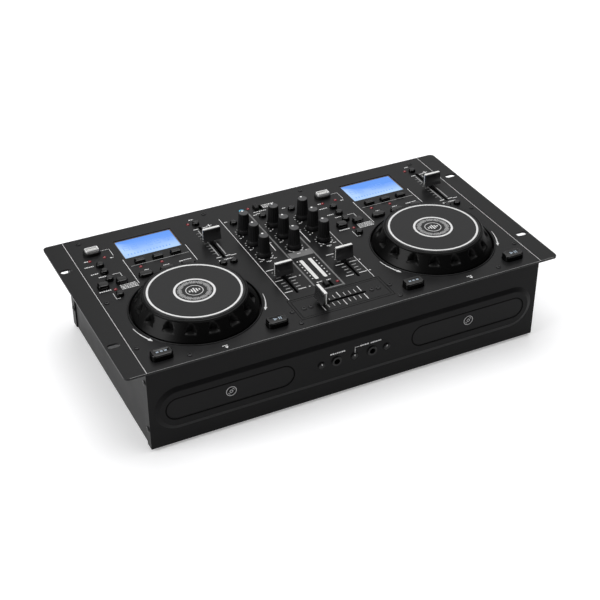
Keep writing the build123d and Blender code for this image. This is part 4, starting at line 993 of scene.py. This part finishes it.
def backlit_pane(side, left):
    """Blue light that is whiter towards the left and front edges, under a glossy pane."""
    material, skin = shader(side + " backlit pane")
    tree = material.node_tree
    link = tree.links.new
    place = tree.nodes.new("ShaderNodeTexCoord")
    cloud = tree.nodes.new("ShaderNodeTexNoise")
    cloud.inputs["Scale"].default_value = 40
    link(place.outputs["Object"], cloud.inputs["Vector"])
    axes = tree.nodes.new("ShaderNodeSeparateXYZ")
    link(place.outputs["Object"], axes.inputs["Vector"])
    fall = tree.nodes.new("ShaderNodeMapRange")
    fall.inputs["From Min"].default_value = glow_front
    fall.inputs["From Max"].default_value = glow_back
    link(axes.outputs["Y"], fall.inputs["Value"])
    bleed = tree.nodes.new("ShaderNodeMapRange")
    bleed.inputs["From Min"].default_value = left
    bleed.inputs["From Max"].default_value = left + bleed_width
    bleed.inputs["To Min"].default_value = -0.55
    bleed.inputs["To Max"].default_value = 0.0
    link(axes.outputs["X"], bleed.inputs["Value"])
    edges = tree.nodes.new("ShaderNodeMath")
    edges.operation = "ADD"
    link(fall.outputs["Result"], edges.inputs[0])
    link(bleed.outputs["Result"], edges.inputs[1])
    mixed = tree.nodes.new("ShaderNodeMath")
    mixed.operation = "MULTIPLY_ADD"
    mixed.inputs[1].default_value = cloud_share
    link(cloud.outputs["Fac"], mixed.inputs[0])
    link(edges.outputs[0], mixed.inputs[2])
    ramp = tree.nodes.new("ShaderNodeValToRGB")
    pale, deep = ramp.color_ramp.elements
    pale.position, pale.color = 0.15, (0.46, 0.68, 1.0, 1)
    deep.position, deep.color = 0.75, (0.16, 0.38, 1.0, 1)
    link(mixed.outputs[0], ramp.inputs["Fac"])
    link(ramp.outputs["Color"], skin.inputs["Emission Color"])
    skin.inputs["Emission Strength"].default_value = 0.92
    skin.inputs["Base Color"].default_value = (0.01, 0.02, 0.05, 1)
    skin.inputs["Roughness"].default_value = 0.12
    skin.inputs["Specular IOR Level"].default_value = 0.3
    return material


rim_brown = surface("seal round the pane", (0.16, 0.12, 0.09), 0.5, patch=0.15, grain=0.1)
segment_ink = surface("faint segments", (0.10, 0.22, 0.62), 0.3, glow=0.75)
segments = ((0, 1, 1, 1), (0, 0.5, 1, 0.5), (0, 0, 1, 0), (0, 0.5, 0, 1), (1, 0.5, 1, 1), (0, 0, 0, 0.5),
            (1, 0, 1, 0.5))
digits = ((-24, 9, 3), (-15, 9, 3), (2, 9, 3), (11, 9, 3), (21, 6, 2.2), (26, 6, 2.2))
rim_size, rim_high, rim_wall, pane_size, pane_high = (66.0, 39.3), 0.9, 1.6, (63.4, 36.7), 0.55
for side, (low, high) in zip(decks, islands("displays")):
    x, y, top = (low.x + high.x) / (2 * mm), (low.y + high.y) / (2 * mm), high.z / mm
    rim = [rounded_ring(x, y, rim_size[0] - 2 * inset, rim_size[1] - 2 * inset, 1.4, z, 4) for inset, z in
           ((0, top), (0, top + rim_high), (rim_wall, top + rim_high), (rim_wall, top))]
    name = side + "_display_rim"
    settle(new_object(name, ring_skin(name, rim, rim_brown, close=True)), "case")
    rings = [rounded_ring(x, y, pane_size[0] - 2 * inset, pane_size[1] - 2 * inset, 1.6, z, 6)
             for inset, z in ((0, top), (0, top + 0.4), (0.3, top + pane_high))]
    name, pane = side + "_display_pane", backlit_pane(side, (x - 32) * mm)
    settle(new_object(name, ring_skin(name, rings, pane)), "case")
    marks = []
    for digit_x, height, half in digits:
        for x0, y0, x1, y1 in segments:
            marks += straight(x + digit_x + half * (2 * x0 - 1), y - 2 + height * y0,
                              x + digit_x + half * (2 * x1 - 1), y - 2 + height * y1, 0.5)
    for i in range(14):
        tick_x = x - 26 + 3.6 * i
        marks += straight(tick_x, y - 12, tick_x, y - 9.4, 1.2)
    printed(side + "_display_signs", marks, segment_ink, level=(top + pane_high) * mm)

lens_red = surface("red lens", (0.19, 0.006, 0.012), 0.14, gloss=0.5, coat=0.7, patch=0.1, glow=0.22)
lens_places = [(((low.x + high.x) / 2, (low.y + high.y) / 2, plate_top), (0, 0, 0))
               for low, high in islands("indicator_lenses")]
lens_depth, lens_radius = (plate_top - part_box("indicator_lenses")[0].z) / mm, 1.4
dome_profile = [(0, -lens_depth), (lens_radius, -lens_depth), (lens_radius, 0.02), (1.8, 0.02), (1.7, 0.5),
                (1.2, 1.0), (0.5, 1.25), (0, 1.28)]
dome = turned_body("lens_dome", dome_profile, lens_red, steps=20)
settle(stand_parts("lamp_domes", dome.data, lens_places, lens_red), "case", sharp=60,
       replaced=["indicator_lenses"])
bpy.data.objects.remove(dome)

# ---------------------------------------------------------------- usb sockets
# An upright metal mouth with folded wall and contact tongue, in a black oval collar on the
# plate. One stands on each deck, between its lamps.
usb_steel = surface("tinned steel", (0.90, 0.90, 0.90), 0.32, gloss=0.6, metal=0.45, patch=0.03,
                    grain=0.05)
collar_black = surface("collar black", (0.008, 0.008, 0.008), 0.42, gloss=0.35, grain=0.15, patch=0.1)
tongue_white = surface("contact tongue", (0.70, 0.70, 0.68), 0.5, patch=0.05)
shell_size, mouth_size, collar_size = (14.2, 7.4), (12.4, 5.2), (19.0, 13.5)
shell_rise, shell_under, collar_high, mouth_depth = 6.0, 12.0, 4.0, 14.0
tongue_size, tongue_place, tongue_sunk = (10.6, 1.8), 0.9, 1.2
for side, sign in decks.items():
    low, high = sorted(islands("usb_sockets"), key=lambda pair: pair[0].x * sign)[-1]
    x, y, z = (low.x + high.x) / (2 * mm), (low.y + high.y) / (2 * mm), plate_top / mm
    collar = [(0, 0), (0, collar_high - 0.9), (-0.3, collar_high - 0.3), (-1.0, collar_high)]
    rings = [rounded_ring(x, y, collar_size[0] + 2 * grow_by, collar_size[1] + 2 * grow_by,
                          collar_size[1] / 2 + grow_by, z + rise, 12) for grow_by, rise in collar]
    hole = [rounded_ring(x, y, shell_size[0] + 2 * grow_by, shell_size[1] + 2 * grow_by, 1.0, z + rise, 12)
            for grow_by, rise in ((0.5, collar_high), (0.1, collar_high - 0.4), (0.1, 0))]
    ring = ring_skin(side + "_usb_collar", rings + hole, collar_black, close=True)
    settle(new_object(side + "_usb_collar", ring), "case", sharp=30)
    outside = [(shell_size, -shell_under), (shell_size, shell_rise - 0.2), ((14.0, 7.2), shell_rise)]
    inside = [((12.7, 5.5), shell_rise), (mouth_size, shell_rise - 0.3),
              (mouth_size, shell_rise - mouth_depth)]
    rings = [rounded_ring(x, y, *size, corner, z + rise, 6)
             for wall, corner in ((outside, 0.9), (inside, 0.5)) for size, rise in wall]
    shell = new_object(side + "_usb_shell", ring_skin(side + "_usb_shell", rings, usb_steel))
    settle(shell, "case", sharp=40)
    rings = [rounded_ring(x, y + tongue_place, *tongue_size, 0.2, z + rise, 3)
             for rise in (shell_rise - mouth_depth, shell_rise - tongue_sunk)]
    tongue = new_object(side + "_usb_tongue", ring_skin(side + "_usb_tongue", rings, tongue_white))
    settle(tongue, "case", replaced=["usb_sockets"] if side == "right" else ())

# ---------------------------------------------------------------- front: drawers, sockets, knobs
# Rounded drawer fronts and their trays of black plastic, two headphone and microphone sockets
# with round nuts, and three small knobs between them, all in the pressed pad.
front_gloss = surface("drawer front", (0.0042, 0.0042, 0.0045), 0.34, gloss=0.10, grain=0.1, patch=0.1,
                      edge=0.5 * mm)
tray_black = surface("tray plastic", (0.012, 0.012, 0.012), 0.45, gloss=0.4, grain=0.15, patch=0.1,
                     edge=0.3 * mm)
jack_black = surface("socket plastic", (0.006, 0.006, 0.006), 0.35, gloss=0.22, patch=0.1, grain=0.1)
# Matt black for the painted shadow of the gap round each drawer front.
gap_shadow_paint = surface("painted shadow round the drawer", (0.001, 0.001, 0.001), 0.8, gloss=0.05, patch=0.1)
pad_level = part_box("front_panel")[0].y
pad_z = middle_of("middle_front_knob").z
sign_radii, sign_rise, glint_radius, gap_offset, gap_width, gap_steps = (5.2, 1.5), 1.5, 3.4, 0.6, 1.4, 24
for side in decks:
    finish_node(side + "_disc_tray", tray_black)
    finish_node(side + "_tray_fascia", front_gloss)
    finish_node(side + "_disc_spindle", surface(side + " turntable", (0.22, 0.22, 0.22), 0.45, gloss=0.5,
                                                patch=0.1, grain=0.1, metal=0.6))
    low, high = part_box(side + "_tray_fascia")
    x, sign_z = middle_of(side + "_tray_fascia").x, pad_z + sign_rise
    sign_marks = []
    for radius in sign_radii:
        sign_marks += bow(x, sign_z, radius, 0, 360, 0.8)
    for start in (20, 200):
        sign_marks += bow(x, sign_z, glint_radius, start, start + 50, 0.6)
    printed(side + "_drawer_sign", sign_marks, faint_ink, side + "_disc_drawer",
            front=low.y)
    # A black line on the pad round each drawer front: painted shadow of the gap.
    half, reach = (high.z - low.z) / (2 * mm), (high.x - low.x) / (2 * mm)
    bend = half + gap_offset
    edge = [(x + s * (reach - half + bend * math.sin(a)), pad_z - s * bend * math.cos(a))
            for s in (1, -1) for a in [math.pi * i / gap_steps for i in range(gap_steps + 1)]]
    printed(side + "_drawer_gap", [(edge + edge[:1], gap_width)], gap_shadow_paint,
            front=pad_level)
finish_node("front_jacks", jack_black)
marks = []
for x0, x1, z in ((-27.5, -10.5, 55.0), (6.5, 16.5, 55.4), (18.5, 30.5, 55.4)):
    marks += dash_label(x0, x1, z, 1.4)
marks.append(([(5.5, 55.4), (0.7, 55.4), (0.7, 48.8)], 0.5))
printed("pad_marks", marks, white_ink, front=pad_level)

small_knob_black = surface("small knob", (0.007, 0.007, 0.007), 0.42, gloss=0.25, grain=0.1, patch=0.1)
cap_radius, cap_end, face_dip, small_ribs, small_rib_cut = 3.5, 6.2, 0.25, 14, (0.25, 0.6, 0.25)
for column in columns:
    name = column + "_front_knob"
    x, y, z = middle_of(name)
    near, far = [corner.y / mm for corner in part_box(name)]
    length = far - near
    stations = [(0, face_dip), (2.6, face_dip), (2.8, 0), (3.1, 0), (cap_radius, 0.4),
                (cap_radius, 1.2, *small_rib_cut), (cap_radius, cap_end - 0.2, *small_rib_cut),
                (3.2, cap_end), (1.5, cap_end), (1.5, length), (0, length)]
    piece = turned_body(name + "_cap", stations, small_knob_black, (x, near, z), lobes=small_ribs,
                        steps=small_ribs * 12, turn=(-math.pi / 2, 0, 0))
    settle(piece, name, sharp=32, replaced=[name])
    printed(name + "_line", straight(x, z + 0.6, x, z + 2.5, 0.7), dot_white, name,
            front=(near + face_dip) * mm)

# ---------------------------------------------------------------- back: sockets and switch
# Four pairs of phono sockets with white and red rings, the mains inlet with three pins, and
# the mains switch.
finish_node("rear_sockets", surface("black socket block", (0.012, 0.012, 0.012), 0.4, gloss=0.4,
                                    grain=0.1, patch=0.1, edge=0.3 * mm))
finish_node("power_rocker", surface("switch rocker", (0.010, 0.010, 0.010), 0.28, gloss=0.5, patch=0.1,
                                    edge=0.4 * mm))
rings_white = surface("white socket ring", (0.75, 0.75, 0.73), 0.4, patch=0.04)
rings_red = surface("red socket ring", (0.55, 0.02, 0.02), 0.4, patch=0.06)
tin = surface("tin plate", (0.72, 0.72, 0.70), 0.28, metal=1.0, patch=0.08, grain=0.05)
barrel_length, first_row, row_pitch = 9.0, 35.0, 15.0
panel_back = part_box("rear_sockets")[1].y / mm - barrel_length
low_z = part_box("rear_panel")[0].z / mm
phono_x, phono_z = (-150.0, -110.0, -60.0, -20.0), [low_z + first_row + row_pitch * i for i in (0, 1)]
collar_profile = [(4.0, 0.0), (5.6, 0.0), (5.8, 0.2), (5.8, 1.6), (5.5, 1.9), (4.0, 1.9), (4.0, 0.0)]
insulator_profile = [(1.6, 8.0), (3.5, 8.0), (3.5, 9.1), (1.8, 9.1), (1.6, 8.9), (1.6, 8.0)]
sleeve_profile = [(3.4, 0.0), (4.3, 0.0), (4.3, 8.9), (4.0, 9.25), (3.6, 9.25), (3.4, 9.0), (3.4, 0.0)]
for name, profiles, skin, heights in (
        ("white_phono_rings", (collar_profile, insulator_profile), rings_white, phono_z[1:]),
        ("red_phono_rings", (collar_profile, insulator_profile), rings_red, phono_z[:1]),
        ("phono_sleeves", (sleeve_profile,), tin, phono_z)):
    models = [turned_body(name + "_part", profile, skin, steps=32) for profile in profiles]
    places = [((x * mm, panel_back * mm, z * mm), (-math.pi / 2, 0, 0)) for x in phono_x for z in heights]
    one = joined(name + "_one", [model.data for model in models])
    settle(stand_parts(name, one, places, skin), "case", sharp=40)
    for model in models:
        bpy.data.objects.remove(model)
low, high = max(islands("rear_sockets"), key=lambda pair: pair[1].x)
inlet_x, inlet_z = (low.x + high.x) / (2 * mm), (low.z + high.z) / (2 * mm)
pin_base, pin_tip, pin_half, tip_bevel = low.y / mm + 1.0, panel_back - 2.0, 1, 0.6
pins = []
for x, z in ((-7, -2.0), (0, 2.0), (7, -2.0)):
    rings = []
    for y, c in ((pin_base, pin_half), (pin_tip - tip_bevel, pin_half), (pin_tip, tip_bevel)):
        corners = ((x - c, z - c - 1), (x + c, z - c - 1), (x + c, z + c + 1), (x - c, z + c + 1))
        rings.append([((inlet_x + px) * mm, y * mm, (inlet_z + pz) * mm) for px, pz in corners])
    pins.append(ring_skin("inlet_pin", rings, tin))
settle(new_object("inlet_pins", joined("inlet_pins", pins)), "case")

# ---------------------------------------------------------------- inside
# What the closed case holds: dark green circuit boards with their switches, the supply board, and
# the moulded beds with rails, clamp bridges and motors of the two disc drawers.
finish_node("circuit_boards", surface("dark circuit board", (0.004, 0.014, 0.007), 0.35, gloss=0.5,
                                      patch=0.25, grain=0.3, grain_size=1.2 * mm))
finish_node("power_supply", surface("supply parts", (0.10, 0.085, 0.05), 0.5, gloss=0.4, patch=0.3,
                                    grain=0.2))
finish_node("drive_frames", surface("drive plastic", (0.035, 0.035, 0.037), 0.5, gloss=0.4, patch=0.15,
                                    grain=0.2))
